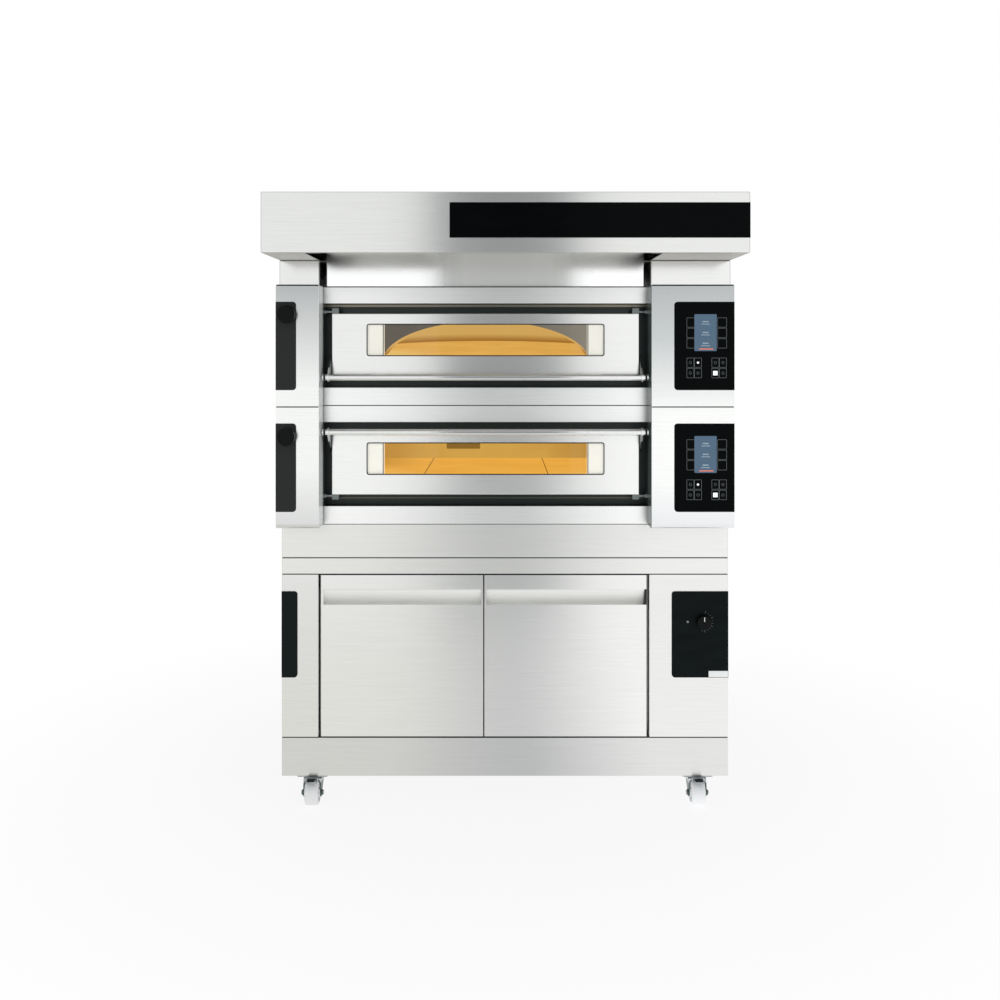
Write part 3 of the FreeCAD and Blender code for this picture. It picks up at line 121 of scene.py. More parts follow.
LIGHTS_AHEAD = 2.9
BOX_SIZE = 3.4
BOX_MIDDLE = 1.5
GAP_LEFT = -0.36
GAP_RIGHT = 0.38
lights_y = FRONT - LIGHTS_AHEAD
for name, x, radiance in (
    ("left_softbox", GAP_LEFT - BOX_SIZE / 2, 0.75), ("right_softbox", GAP_RIGHT + BOX_SIZE / 2, 0.82)
):
    softbox(name, (x, lights_y, BOX_MIDDLE), (x, FRONT, BOX_MIDDLE), BOX_SIZE, BOX_SIZE, radiance)
softbox("top_softbox", (0.0, FRONT - 1.2, 3.4), (0.0, FRONT + 0.4, 1.2), 3.2, 1.8, 0.4)

world = bpy.data.worlds.new("studio")
bpy.context.scene.world = world
world.use_nodes = True
world.node_tree.nodes.clear()
room = world.node_tree
aim = add(room, "ShaderNodeSeparateXYZ", {0: add(room, "ShaderNodeTexCoord").outputs["Generated"]})
ahead = spread(room, aim.outputs[1], -0.75, 0.2)
surround = mix(room, ahead, linear(FAR_GREY), linear("#CBCBCB"))
watched = add(room, "ShaderNodeLightPath").outputs["Is Camera Ray"]
background = add(room, "ShaderNodeBackground", {0: mix(room, watched, surround, linear("#FFFFFF")), 1: 1.0})
add(room, "ShaderNodeOutputWorld", {0: background.outputs[0]})

FLOOR_RADIUS = 12.0
FADE_FROM = 0.3
FADE_TO = 2.4
floor_mesh = bmesh.new()
bmesh.ops.create_circle(floor_mesh, cap_ends=True, segments=96, radius=FLOOR_RADIUS)
floor_data = bpy.data.meshes.new("studio_floor")
floor_mesh.to_mesh(floor_data)
floor_mesh.free()
studio_floor = bpy.data.objects.new("studio_floor", floor_data)
bpy.context.scene.collection.objects.link(studio_floor)
paper = bpy.data.materials.new("white_studio_paper")
paper.use_nodes = True
paper.node_tree.nodes.clear()
sheet = paper.node_tree
parts = add(sheet, "ShaderNodeSeparateXYZ", {0: spot(sheet)}).outputs
reach = add(sheet, "ShaderNodeVectorMath", {0: spot(sheet)}, operation="LENGTH").outputs["Value"]
lit = add(sheet, "ShaderNodeBsdfDiffuse", {0: linear("#F7F7F7")})
white = add(sheet, "ShaderNodeEmission", {0: linear("#FFFFFF"), 1: 1.0})
fade = add(
    sheet, "ShaderNodeMapRange", {0: reach, 1: FADE_FROM, 2: FADE_TO, 3: 0.86, 4: 1.0},
    interpolation_type="SMOOTHERSTEP",
)
looked_at = add(sheet, "ShaderNodeMixShader", {0: fade.outputs[0], 1: lit.outputs[0], 2: white.outputs[0]})
left_half = mix(sheet, spread(sheet, parts[0], -0.4, -0.02), linear("#E6E6E2"), linear("#CFD0D1"))
lit_floor = mix(sheet, spread(sheet, parts[0], 0.1, 0.5), left_half, linear("#FFFFFF"))
far_floor = mix(sheet, spread(sheet, parts[1], lights_y + 0.3, lights_y), lit_floor, linear(FAR_GREY))
mirrored = add(sheet, "ShaderNodeEmission", {0: far_floor, 1: 1.12})
watched = add(sheet, "ShaderNodeLightPath").outputs["Is Camera Ray"]
shown = add(sheet, "ShaderNodeMixShader", {0: watched, 1: mirrored.outputs[0], 2: looked_at.outputs[0]})
add(sheet, "ShaderNodeOutputMaterial", {0: shown.outputs[0]})
studio_floor.data.materials.append(paper)


# ---- plinth ----
# The closed base box is folded from 1.5 mm AISI 430 stainless sheet with a scotch-brite satin finish.
# Its fine horizontal grain draws reflections out upwards, so the eye sees soft upright bands.
def material(name):
    """Empty node material with a Principled shader."""
    made = bpy.data.materials.new(name)
    made.use_nodes = True
    made.node_tree.nodes.clear()
    shader = add(made.node_tree, "ShaderNodeBsdfPrincipled")
    add(made.node_tree, "ShaderNodeOutputMaterial", {0: shader.outputs[0]})
    return made, made.node_tree, shader


def region(tree, parts, limits):
    """Share of the region beyond each of its (axis, low, high) limits at once, full at high."""
    share = 1.0
    for axis, low, high in limits:
        part = spread(tree, parts["XYZ".index(axis)], low, high)
        share = add(tree, "ShaderNodeMath", {0: share, 1: part}, operation="MULTIPLY").outputs[0]
    return share


SCRATCH_LENGTH = 90.0


def stainless(name, pale, dull, roughness, grain=(1, 0, 0), lines=1.5, zones=()):
    """Satin stainless sheet, with its grain drawn out along the axes marked in grain.

    lines is the grain's spacing in mm, coarser than the real 0.1 mm so that it shows; a scratch is
    SCRATCH_LENGTH times as long. Reflections are drawn out upright. zones lists (limits, colour, metal)
    regions painted a tone and metal of their own, in turn; this is how painted light and painted shade are
    laid on.
    """
    made, tree, shader = material(name)
    where = spot(tree)
    fine = 1000.0 / lines
    scale = [fine / SCRATCH_LENGTH if part else fine for part in grain]
    along = add(tree, "ShaderNodeMapping", {0: where, 3: scale}).outputs[0]
    hair = noise(tree, along, 1.0)
    smear = noise(tree, where, 2.6, 3.0, 0.5)
    tone = mix(tree, spread(tree, hair, 0.3, 0.7), linear(dull), linear(pale))
    metal = 1.0
    parts = add(tree, "ShaderNodeSeparateXYZ", {0: where}).outputs
    for limits, colour, shine in zones:
        share = region(tree, parts, limits)
        tone = mix(tree, share, tone, linear(colour))
        metal = add(tree, "ShaderNodeMix", {0: share, 2: metal, 3: shine}).outputs[0]
    rub = spread(tree, smear, 0.3, 0.7, roughness - 0.015, roughness + 0.02)
    grit = spread(tree, hair, 0.2, 0.8, -0.01, 0.01)
    rough = add(tree, "ShaderNodeMath", {0: rub, 1: grit}, operation="ADD").outputs[0]
    relief = add(tree, "ShaderNodeBump", {"Strength": 0.02, "Distance": 0.0001, "Height": hair}).outputs[0]
    upright = add(
        tree, "ShaderNodeVectorTransform", {0: (0.04, 0.1, 1.0)}, vector_type="VECTOR",
        convert_from="OBJECT", convert_to="WORLD",
    ).outputs[0]
    if zones:
        tree.links.new(metal, shader.inputs["Metallic"])
    else:
        shader.inputs["Metallic"].default_value = 1.0
    shader.inputs["Anisotropic"].default_value = 0.6
    for socket, value in (
        ("Base Color", tone), ("Roughness", rough), ("Normal", relief), ("Tangent", upright)
    ):
        tree.links.new(value, shader.inputs[socket])
    return made


def dress(finish, *names):
    """Gives CAD nodes a finish."""
    for name in names:
        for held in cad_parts[name].material_slots:
            held.material = finish


satin_stainless = stainless("satin_stainless_sheet", "#E6E6E4", "#E0E0DE", 0.23)
dress(stainless("satin_stainless_plinth", "#DCDCDB", "#D6D6D5", 0.24), "base_frame")


# ---- castors ----
# Moulded pale polyamide wheels turn on zinc-plated bolts in pressed zinc-plated forks. The plating is
# bluish with soft mottling, the forks' cheeks are painted dark as painted shade, and the nylon is smooth
# and slightly glossy.
MM = 0.001


def moulded(name, base, shadow, roughness, grain_mm, relief_depth, gloss=0.5, foot=None):
    """Moulded plastic or rubber: a fine spark-eroded grain and a faint drift in colour.

    grain_mm is coarser than the real 0.1 mm grain so that it shows. foot is (axis, low, high, colour) for
    a part of another colour.
    """
    made, tree, shader = material(name)
    where = spot(tree)
    grain = noise(tree, where, 1000.0 / grain_mm, 2.0)
    drift = noise(tree, where, 22.0, 4.0, 0.6)
    tone = mix(tree, drift, linear(shadow), linear(base))
    if foot:
        parts = add(tree, "ShaderNodeSeparateXYZ", {0: where}).outputs
        tone = mix(tree, region(tree, parts, (foot[:3],)), tone, linear(foot[3]))
    rough = spread(tree, drift, 0.3, 0.7, roughness - 0.05, roughness + 0.06)
    relief = add(tree, "ShaderNodeBump", {"Strength": 0.25, "Distance": relief_depth, "Height": grain})
    shader.inputs["Specular IOR Level"].default_value = gloss
    for socket, value in (("Base Color", tone), ("Roughness", rough), ("Normal", relief.outputs[0])):
        tree.links.new(value, shader.inputs[socket])
    return made


def plated(name, pale, dark, roughness, patch_mm, foot=None):
    """Zinc plate: crystalline patches that differ a little in tone and gloss.

    foot is (axis, low, high, colour) for a part painted darker, as painted shade.
    """
    made, tree, shader = material(name)
    where = spot(tree)
    patches = add(tree, "ShaderNodeTexVoronoi", {0: where, "Scale": 1000.0 / patch_mm}).outputs["Color"]
    cloud = noise(tree, where, 60.0, 4.0)
    mottle = add(tree, "ShaderNodeMath", {0: patches, 1: cloud}, operation="MULTIPLY").outputs[0]
    tone = mix(tree, mottle, linear(dark), linear(pale))
    if foot:
        parts = add(tree, "ShaderNodeSeparateXYZ", {0: where}).outputs
        tone = mix(tree, region(tree, parts, (foot[:3],)), tone, linear(foot[3]))
    rough = spread(tree, cloud, 0.3, 0.7, roughness - 0.05, roughness + 0.08)
    relief = add(tree, "ShaderNodeBump", {"Strength": 0.1, "Distance": 0.0001, "Height": cloud})
    shader.inputs["Metallic"].default_value = 1.0
    for socket, value in (("Base Color", tone), ("Roughness", rough), ("Normal", relief.outputs[0])):
        tree.links.new(value, shader.inputs[socket])
    return made


def piece(name, mesh, finish, body, smooth=30.0):
    """Turns a finished bmesh into a named piece that rides on a body."""
    bmesh.ops.remove_doubles(mesh, verts=mesh.verts, dist=1e-6)
    bmesh.ops.recalc_face_normals(mesh, faces=mesh.faces)
    data = bpy.data.meshes.new(name)
    mesh.to_mesh(data)
    mesh.free()
    made = bpy.data.objects.new(name, data)
    bpy.context.scene.collection.objects.link(made)
    data.materials.append(finish)
    data.shade_smooth()
    data.set_sharp_from_angle(angle=math.radians(smooth))
    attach(made, body)
    return made


def join(mesh, part, place=Matrix.Identity(4)):
    """Moves one bmesh's faces into another, placed by a matrix."""
    bmesh.ops.transform(part, matrix=place, verts=part.verts)
    data = bpy.data.meshes.new("part")
    part.to_mesh(data)
    part.free()
    mesh.from_mesh(data)
    bpy.data.meshes.remove(data)


def block(mesh, low, high, edge=0.0, segments=2):
    """Adds a block between two corners, with its edges rounded."""
    low, high = Vector(low), Vector(high)
    place = Matrix.Translation((low + high) / 2) @ Matrix.Diagonal((*(high - low), 1.0))
    made = bmesh.ops.create_cube(mesh, size=1.0, matrix=place)["verts"]
    if edge:
        edges = list({e for v in made for e in v.link_edges})
        bmesh.ops.bevel(
            mesh, geom=edges, offset=edge, segments=segments, profile=0.5, affect="EDGES", material=-1
        )


def turned(mesh, profile, centre, axis, steps=32):
    """Spins a profile of (radius, height) points about an axis through the centre."""
    axis = Vector(axis).normalized()
    side = axis.orthogonal().normalized()
    centre = Vector(centre)
    chain = [mesh.verts.new(centre + side * radius + axis * height) for radius, height in profile]
    edges = [mesh.edges.new(pair) for pair in zip(chain, chain[1:])]
    bmesh.ops.spin(
        mesh, geom=chain + edges, cent=centre, axis=axis, angle=2 * math.pi, steps=steps, use_merge=True
    )


zinc = plated("zinc_plated_steel", "#C9CCCE", "#8F9396", 0.32, 9.0)
pale_nylon = moulded("pale_nylon_wheel", "#F6F7F9", "#E6E7EA", 0.36, 0.8, 0.00008)
dark_rubber = moulded("black_epdm_rubber", "#1E1F20", "#141516", 0.62, 0.9, 0.00012)
dress(zinc, "castor_plates")
CROWN_BELOW_TOP = 22 * MM
TRAIL = 28 * MM
SEAL_BELOW_PLATE = 3.9 * MM
NUT_RADIUS = 7 * MM
NUT_THICK = 3 * MM
crown_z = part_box("front_left_castor_fork")[1].z - CROWN_BELOW_TOP
# Painted shade: the forks' cheeks below the crown are painted dark teal.
fork_zinc = plated(
    "zinc_plated_fork_painted_shade_cheeks", "#D4D7D9", "#A4A8AB", 0.3, 9.0,
    ("Z", crown_z, crown_z - 3 * MM, "#4B5955"),
)
for corner in ("front_left", "front_right", "back_left", "back_right"):
    dress(fork_zinc, corner + "_castor_fork")
    dress(pale_nylon, corner + "_castor_wheel")
    low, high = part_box(corner + "_castor_wheel")
    hub = (low + high) / 2
    fork_low, fork_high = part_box(corner + "_castor_fork")
    nuts = bmesh.new()
    for side in (-1, 1):
        face = fork_low.x if side < 0 else fork_high.x
        seat = Matrix.Translation((face + side * NUT_THICK / 2, hub.y, hub.z))
        bmesh.ops.create_cone(
            nuts, cap_ends=True, segments=6, radius1=NUT_RADIUS, radius2=NUT_RADIUS, depth=NUT_THICK,
            matrix=seat @ Matrix.Rotation(math.pi / 2, 4, "Y"),
        )
    bmesh.ops.bevel(
        nuts, geom=nuts.edges[:], offset=0.5 * MM, segments=1, profile=0.5, affect="EDGES", material=-1
    )
    piece(corner + "_axle_nuts", nuts, zinc, corner + "_castor")
    seal = bmesh.new()
    seal_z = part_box("castor_plates")[0].z - SEAL_BELOW_PLATE
    pivot = (fork_low + fork_high) / 2
    swivel_y = hub.y + (TRAIL if corner.startswith("front") else -TRAIL)
    turned(
        seal,
        ((27.2 * MM, 0), (28.6 * MM, 0.6 * MM), (28.6 * MM, 2.4 * MM), (27.2 * MM, 3 * MM), (27.2 * MM, 0)),
        (pivot.x, swivel_y, seal_z),
        (0, 0, 1),
    )
    piece(corner + "_dust_seal", seal, dark_rubber, corner + "_castor")
RIBS = 4
RIB_PITCH = 5 * MM
RIB_WIDE = 2.6 * MM
RIB_IN = 4 * MM
for corner in ("front_left", "front_right"):
    dress(zinc, corner + "_castor_brake")
    low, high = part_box(corner + "_castor_brake")
    pads = bmesh.new()
    for row in range(RIBS):
        y = low.y + RIB_IN + RIB_PITCH * row
        block(
            pads,
            (low.x + RIB_IN, y, high.z - 2.6 * MM),
            (high.x - RIB_IN, y + RIB_WIDE, high.z - 0.4 * MM),
            0.5 * MM,
        )
    piece(corner + "_brake_ribs", pads, dark_rubber, corner + "_brake")


# ---- cabinet casings, top and spacer ----
# Closed side casings, the cabinet top and the spacer are folded from the same satin sheet, rubbed duller
# on the top and spacer. Pan-head zinc-plated screws fix the side panels along their front and back edges.
def screws(name, places, way, body, radius=4.0):
    """Pan-head screws with a square recess, their heads looking along way."""
    mesh = bmesh.new()
    turn = Vector((0, 0, 1)).rotation_difference(Vector(way)).to_matrix().to_4x4()
    for place in places:
        head = bmesh.new()
        bmesh.ops.create_cone(
            head, cap_ends=True, segments=16, radius1=radius * MM, radius2=0.72 * radius * MM,
            depth=0.4 * radius * MM, matrix=Matrix.Translation((0, 0, 0.2 * radius * MM)),
        )
        top = max(head.faces, key=lambda face: face.calc_center_median().z)
        bmesh.ops.inset_region(head, faces=[top], thickness=0.36 * radius * MM, depth=0.0)
        bmesh.ops.translate(head, verts=top.verts, vec=(0, 0, -0.22 * radius * MM))
        join(mesh, head, Matrix.Translation(place) @ turn)
    return piece(name, mesh, zinc, body)


soft_stainless = stainless("soft_satin_stainless", "#EBEBE8", "#E5E5E2", 0.34)
dress(satin_stainless, "prover_left_side", "prover_right_side")
dress(soft_stainless, "prover_top", "spacer")
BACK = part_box("prover_top")[1].y
EDGE_IN = 22 * MM
cabinet_low, cabinet_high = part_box("prover_left_side")
right_low, right_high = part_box("prover_right_side")
for label, x, way in (("left", cabinet_low.x, (-1, 0, 0)), ("right", right_high.x, (1, 0, 0))):
    rows = []
    for y in (FRONT + EDGE_IN, BACK - EDGE_IN):
        for share in (0.06, 0.5, 0.94):
            z = cabinet_low.z + share * (cabinet_high.z - cabinet_low.z)
            rows.append((x, y, z))
    screws("cabinet_" + label + "_screws", rows, way, "root")


# ---- cabinet lining, tray racks and heater ----
# The lining and door inners are plain rolled 2B stainless, duller and finer than the outside. The racks
# are the same, and the heating rod is an oxidised Incoloy sheath, dark brown with bluish patches.
rolled_stainless = stainless("rolled_2b_stainless", "#C6C6C1", "#B8B8B4", 0.34, grain=(0, 1, 0), lines=1.4)
dress(rolled_stainless, "prover_liner", "prover_left_door_liner", "prover_right_door_liner", "tray_racks")


def oxidised(name, base, tint, roughness):
    """Heat-oxidised metal: dull and dark, with temper-coloured clouds and a scaly surface."""
    made, tree, shader = material(name)
    where = spot(tree)
    cloud = noise(tree, where, 35.0, 6.0, 0.65)
    scaly = noise(tree, where, 700.0)
    relief = add(tree, "ShaderNodeBump", {"Strength": 0.3, "Distance": 0.0002, "Height": scaly})
    shader.inputs["Metallic"].default_value = 0.7
    tone = mix(tree, cloud, linear(base), linear(tint))
    rough = spread(tree, scaly, 0.3, 0.7, roughness - 0.06, roughness + 0.06)
    for socket, value in (("Base Color", tone), ("Roughness", rough), ("Normal", relief.outputs[0])):
        tree.links.new(value, shader.inputs[socket])
    return made


incoloy = oxidised("oxidised_incoloy", "#2B2522", "#4E4038", 0.55)
dress(incoloy, "prover_heater", "heating_elements")


# ---- cabinet doors ----
# Each leaf is a folded satin skin whose full-width grip channel slants in behind the main panel; the
# channel is painted pale and even with little metal, as painted light. Caps close the channel's ends, of
# steel apart from a black one at the far right, and a matt black rubber seal runs round the inner panel.
# Painted light: the grip channel is painted pale, with little metal.
painted_light_channel = ("Y", FRONT + 1.2 * MM, FRONT + 2.2 * MM)
door_stainless = stainless(
    "satin_cabinet_doors_painted_light_channel", "#ECECEA", "#E6E6E4", 0.24, zones=(((painted_light_channel,), "#F6F6F3", 0.1),)
)
dress(door_stainless, "prover_left_door", "prover_right_door")
GRIP_BAND = 42 * MM
GRIP_HEIGHT = 48 * MM
GRIP_POCKET = 17 * MM
GRIP_DEPTH = 26 * MM
SKIN = 3 * MM
CAP_WIDE = 6 * MM
CAP_GAP = 0.2 * MM
SEAL_IN = 12 * MM
SEAL_THICK = 3.4 * MM


def rounded_ring(mesh, low, high, radius, width, depth):
    """Adds a flat ring with rounded corners, its back at low's y and its front ahead of that by depth."""
    ring = bmesh.new()
    corners = ((low[0], low[2]), (high[0], low[2]), (high[0], high[2]), (low[0], high[2]))
    ring.faces.new([ring.verts.new((x, low[1], z)) for x, z in corners])
    bmesh.ops.bevel(
        ring, geom=ring.verts[:], offset=radius, segments=6, profile=0.5, affect="VERTICES", material=-1
    )
    hole = max(ring.faces, key=lambda face: face.calc_area())
    bmesh.ops.inset_region(ring, faces=[hole], thickness=width, use_even_offset=True, use_boundary=True)
    bmesh.ops.delete(ring, geom=[hole], context="FACES")
    grown = bmesh.ops.extrude_face_region(ring, geom=ring.faces[:])["geom"]
    ahead = [part for part in grown if isinstance(part, bmesh.types.BMVert)]
    bmesh.ops.translate(ring, verts=ahead, vec=(0, -depth, 0))
    join(mesh, ring)


for label in ("left", "right"):
    body = "prover_" + label + "_leaf"
    low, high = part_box("prover_" + label + "_door")
    band = high.z - GRIP_BAND
    lip = band - GRIP_HEIGHT
    pocket = lip - GRIP_POCKET
    for side, start in (("left", low.x), ("right", high.x - CAP_WIDE)):
        caps = bmesh.new()
        outline = (
            (FRONT + 0.3 * MM, lip),
            (FRONT + SKIN, lip - CAP_GAP),
            (FRONT + SKIN, pocket + CAP_GAP),
            (FRONT + GRIP_DEPTH - CAP_GAP, pocket + CAP_GAP),
            (FRONT + GRIP_DEPTH - CAP_GAP, lip),
            (FRONT + 0.3 * MM, band - 0.5 * MM),
        )
        face = caps.faces.new([caps.verts.new((start, y, z)) for y, z in outline])
        grown = bmesh.ops.extrude_face_region(caps, geom=[face])["geom"]
        ends = [part for part in grown if isinstance(part, bmesh.types.BMVert)]
        bmesh.ops.translate(caps, verts=ends, vec=(CAP_WIDE, 0, 0))
        far_right = label == side == "right"
        finish, slot = (dark_rubber, "black_cover") if far_right else (door_stainless, "stainless")
        piece("prover_" + label + "_grip_" + side + "_cap", caps, finish, body)
    liner_low, liner_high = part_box("prover_" + label + "_door_liner")
    seal = bmesh.new()
    rounded_ring(
        seal,
        (liner_low.x + SEAL_IN, liner_high.y + SEAL_THICK, liner_low.z + SEAL_IN),
        (liner_high.x - SEAL_IN, liner_high.y, liner_high.z - SEAL_IN),
        10 * MM, 9 * MM, SEAL_THICK,
    )
    piece("prover_" + label + "_door_seal", seal, dark_rubber, body)


# ---- cabinet cover, control panel and thermostat ----
# Black plates screwed on from behind: the left covers are satin ABS, a soft dark grey, and the control
# panel is acrylic with a low sheen. The thermostat knob is moulded phenolic with a white pointer line,
# over a dial printed in grey.
def gloss_plastic(name, base, roughness, gloss=0.03):
    """Gloss plastic or back-printed acrylic, with faint dust and wiping marks in its gloss."""
    made, tree, shader = material(name)
    where = spot(tree)
    wiped = add(tree, "ShaderNodeMapping", {0: where, 3: (9.0, 9.0, 30.0)}).outputs[0]
    marks = noise(tree, wiped, 1.0, 5.0, 0.6)
    wave = noise(tree, where, 8.0)
    relief = add(tree, "ShaderNodeBump", {"Strength": 0.05, "Distance": 0.0004, "Height": wave})
    shader.inputs["Specular IOR Level"].default_value = gloss
    tone = mix(tree, marks, linear(base), linear("#080A0B"))
    rough = spread(tree, marks, 0.35, 0.7, roughness, roughness + 0.1)
    for socket, value in (("Base Color", tone), ("Roughness", rough), ("Normal", relief.outputs[0])):
        tree.links.new(value, shader.inputs[socket])
    return made


def printed(name, base, glow_strength=0.0):
    """Screen-printed ink or enamel, uneven about every mm, which is coarser than it is so that it shows.

    Lit symbols get a little light of their own from glow_strength; given to the unlit white print and the
    enamelled frame, that glow is painted light.
    """
    made, tree, shader = material(name)
    uneven = noise(tree, spot(tree), 900.0, 2.0)
    tone = mix(tree, spread(tree, uneven, 0.2, 0.8), linear(base), linear("#FFFFFF"))
    shader.inputs["Specular IOR Level"].default_value = 0.2
    shader.inputs["Emission Color"].default_value = linear(base)
    shader.inputs["Emission Strength"].default_value = glow_strength
    tree.links.new(mix(tree, 0.06, linear(base), tone), shader.inputs["Base Color"])
    tree.links.new(spread(tree, uneven, 0.3, 0.7, 0.4, 0.6), shader.inputs["Roughness"])
    return made


deck_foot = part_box("deck_left_sides")[0].z
satin_abs = moulded(
    "satin_black_abs", "#303231", "#2A2C2B", 0.45, 0.5, 0.00005, 0.1,
    ("Z", deck_foot, deck_foot - MM, "#0E1616"),
)
gloss_acrylic = gloss_plastic("gloss_black_acrylic", "#040506", 0.14)
dark_acrylic = gloss_plastic("satin_black_control_panel", "#141C1E", 0.3, 0.05)
phenolic = moulded("black_phenolic", "#0C0D0E", "#08090A", 0.36, 0.7, 0.00005, 0.1)
# Painted light: the white print glows faintly though nothing lights it from behind.
white_ink_painted_glow = printed("white_print", "#EDEFEF", 0.05)
grey_ink = printed("grey_print", "#5C6466")
lit_ink = printed("backlit_white_print", "#F2F5F6", 0.6)
lens_plastic = gloss_plastic("clear_lamp_lens", "#A8A6A4", 0.12, 0.5)
dress(satin_abs, "left_covers")
dress(dark_acrylic, "prover_control_panel")
dress(phenolic, "thermostat_knob")
dress(lens_plastic, "indicator_lamp")

INK = 0.25 * MM
TICKS = 11
DIAL_START = 12
DIAL_SWEEP = 176
TICK_FROM = 26 * MM
LONG_TICK = 33 * MM
SHORT_TICK = 30 * MM
TAG_WIDE = 60 * MM
TAG_TALL = 20 * MM
knob_low, knob_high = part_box("thermostat_knob")
knob_x = (knob_low.x + knob_high.x) / 2
knob_z = (knob_low.z + knob_high.z) / 2
panel_low, panel_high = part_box("prover_control_panel")
dial = bmesh.new()
for tick in range(TICKS):
    angle = math.radians(DIAL_START + DIAL_SWEEP * tick / (TICKS - 1))
    spoke = bmesh.new()
    block(spoke, (-0.6 * MM, -INK, TICK_FROM), (0.6 * MM, 0.0, SHORT_TICK if tick % 3 else LONG_TICK))
    join(dial, spoke, Matrix.Translation((knob_x, panel_low.y, knob_z)) @ Matrix.Rotation(angle, 4, "Y"))
piece("thermostat_dial_marks", dial, grey_ink, "root")
line = bmesh.new()
block(
    line,
    (knob_x - 1.1 * MM, knob_low.y - INK, knob_z + 5 * MM),
    (knob_x + 1.1 * MM, knob_low.y + 1 * MM, knob_z + 18 * MM),
    0.2 * MM,
)
piece("thermostat_pointer_line", line, white_ink_painted_glow, "thermostat")
tag = bmesh.new()
block(
    tag,
    (panel_high.x - TAG_WIDE, panel_low.y - 0.4 * MM, panel_low.z + 1.5 * MM),
    (panel_high.x - 1 * MM, panel_low.y, panel_low.z + TAG_TALL),
    0.3 * MM,
)
piece("blank_rating_tag", tag, white_ink_painted_glow, "root")


# ---- deck casings ----
# Side casings with their columns and the folded chassis of each deck, all in satin sheet. The columns carry
# painted shade in bands near their tops and feet; their inner sides are painted pale at the front on the
# left, as painted light, dark on the right and darkest towards the back, as painted shade. The back of each
# control compartment has pressed ventilation louvres, and small screws show under the columns.
left_low, left_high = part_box("deck_left_sides")
right_low, right_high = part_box("deck_right_sides")
LOWER_Z = left_low.z
COLUMN_FRONT = left_low.y
TOP_Z = left_high.z


def column_with_painted_shade(name, inner, painted_shade_heights):
    """Column sheet darkened by painted shade in the height bands given; its inner side's tone is painted
    light and shade, darkest at the back.
    """
    start, full, side = inner
    painted_inner_side = ("X", start, full)
    zones = [((("Z", low, high),), colour, 1.0) for low, high, colour in painted_shade_heights]
    zones.append(((painted_inner_side,), side, 0.1))
    # Painted shade darkens the inner side towards the back.
    zones.append(((painted_inner_side, ("Y", COLUMN_FRONT + 60 * MM, FRONT - 4 * MM)), "#2E3A39", 0.1))
    return stainless(name, "#F2F2F0", "#ECECEA", 0.22, zones=zones)


# Left column: painted shade in bands at its top and foot, and its inner side painted pale at the front as
# painted light.
dress(
    column_with_painted_shade(
        "satin_left_column_painted_shade",
        (left_high.x - 1.2 * MM, left_high.x - 0.6 * MM, "#F2F6F4"),
        ((TOP_Z - 0.31, TOP_Z - 0.01, "#B4B6B6"), (LOWER_Z + 0.18, LOWER_Z, "#D4D4D3")),
    ),
    "deck_left_sides",
)
# Right column: painted shade in bands towards its top and at its foot, and its inner side painted dark as
# painted shade.
dress(
    column_with_painted_shade(
        "satin_right_column_painted_shade",
        (right_low.x + 1.2 * MM, right_low.x + 0.6 * MM, "#56625F"),
        (
            (TOP_Z - 0.38, TOP_Z - 0.16, "#C3C6C6"),
            (TOP_Z - 0.16, TOP_Z, "#B2B4B5"),
            (LOWER_Z + 0.14, LOWER_Z, "#E0E0E2"),
        ),
    ),
    "deck_right_sides",
)
dress(rolled_stainless, "deck_chassis")
dress(satin_abs, "cable_glands")
DECK_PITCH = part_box("upper_chamber")[0].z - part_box("lower_chamber")[0].z
LOUVRES = 9
LOUVRE_PITCH = 16 * MM
LOWEST_LOUVRE = 170 * MM
LOUVRE_WIDE = 70 * MM
LOUVRE_TALL = 9 * MM
LOUVRE_DEEP = 5 * MM
LOUVRE_COLUMNS = (40 * MM, 130 * MM)
louvres = bmesh.new()
for deck in (0, 1):
    for row in range(LOUVRES):
        z = LOWER_Z + deck * DECK_PITCH + LOWEST_LOUVRE + LOUVRE_PITCH * row
        for start in (right_low.x + inwards for inwards in LOUVRE_COLUMNS):
            louvre = bmesh.new()
            block(louvre, (start, BACK, z), (start + LOUVRE_WIDE, BACK + LOUVRE_DEEP, z + LOUVRE_TALL))
            for vert in louvre.verts:
                if vert.co.y > BACK + MM and vert.co.z > z + MM:
                    vert.co.y = BACK + 0.3 * MM
            bmesh.ops.bevel(
                louvre, geom=louvre.edges[:], offset=0.8 * MM, segments=2, profile=0.5, affect="EDGES",
                material=-1,
            )
            join(louvres, louvre)
piece("back_louvres", louvres, satin_stainless, "root")
for label, x, way in (("left", left_low.x, (-1, 0, 0)), ("right", right_high.x, (1, 0, 0))):
    rows = []
    for deck in (0, 1):
        for y in (COLUMN_FRONT + 2 * EDGE_IN, BACK - EDGE_IN):
            for share in (0.1, 0.9):
                rows.append((x, y, LOWER_Z + (deck + share) * DECK_PITCH))
    screws("deck_" + label + "_screws", rows, way, "root")
rows = []
for x in (left_low.x + EDGE_IN, left_high.x - EDGE_IN, right_low.x + EDGE_IN, right_high.x - EDGE_IN):
    rows.append((x, COLUMN_FRONT + 2 * EDGE_IN, LOWER_Z))
screws("column_foot_screws", rows, (0, 0, -1), "root", 5.0)
rows = []
for deck in (0, 1):
    for share in (0.08, 0.36, 0.64, 0.92):
        for z in (0.07, 0.93):
            x = left_high.x + share * (right_low.x - left_high.x)
            rows.append((x, BACK, LOWER_Z + (deck + z) * DECK_PITCH))
screws("back_panel_screws", rows, (0, 1, 0), "root")
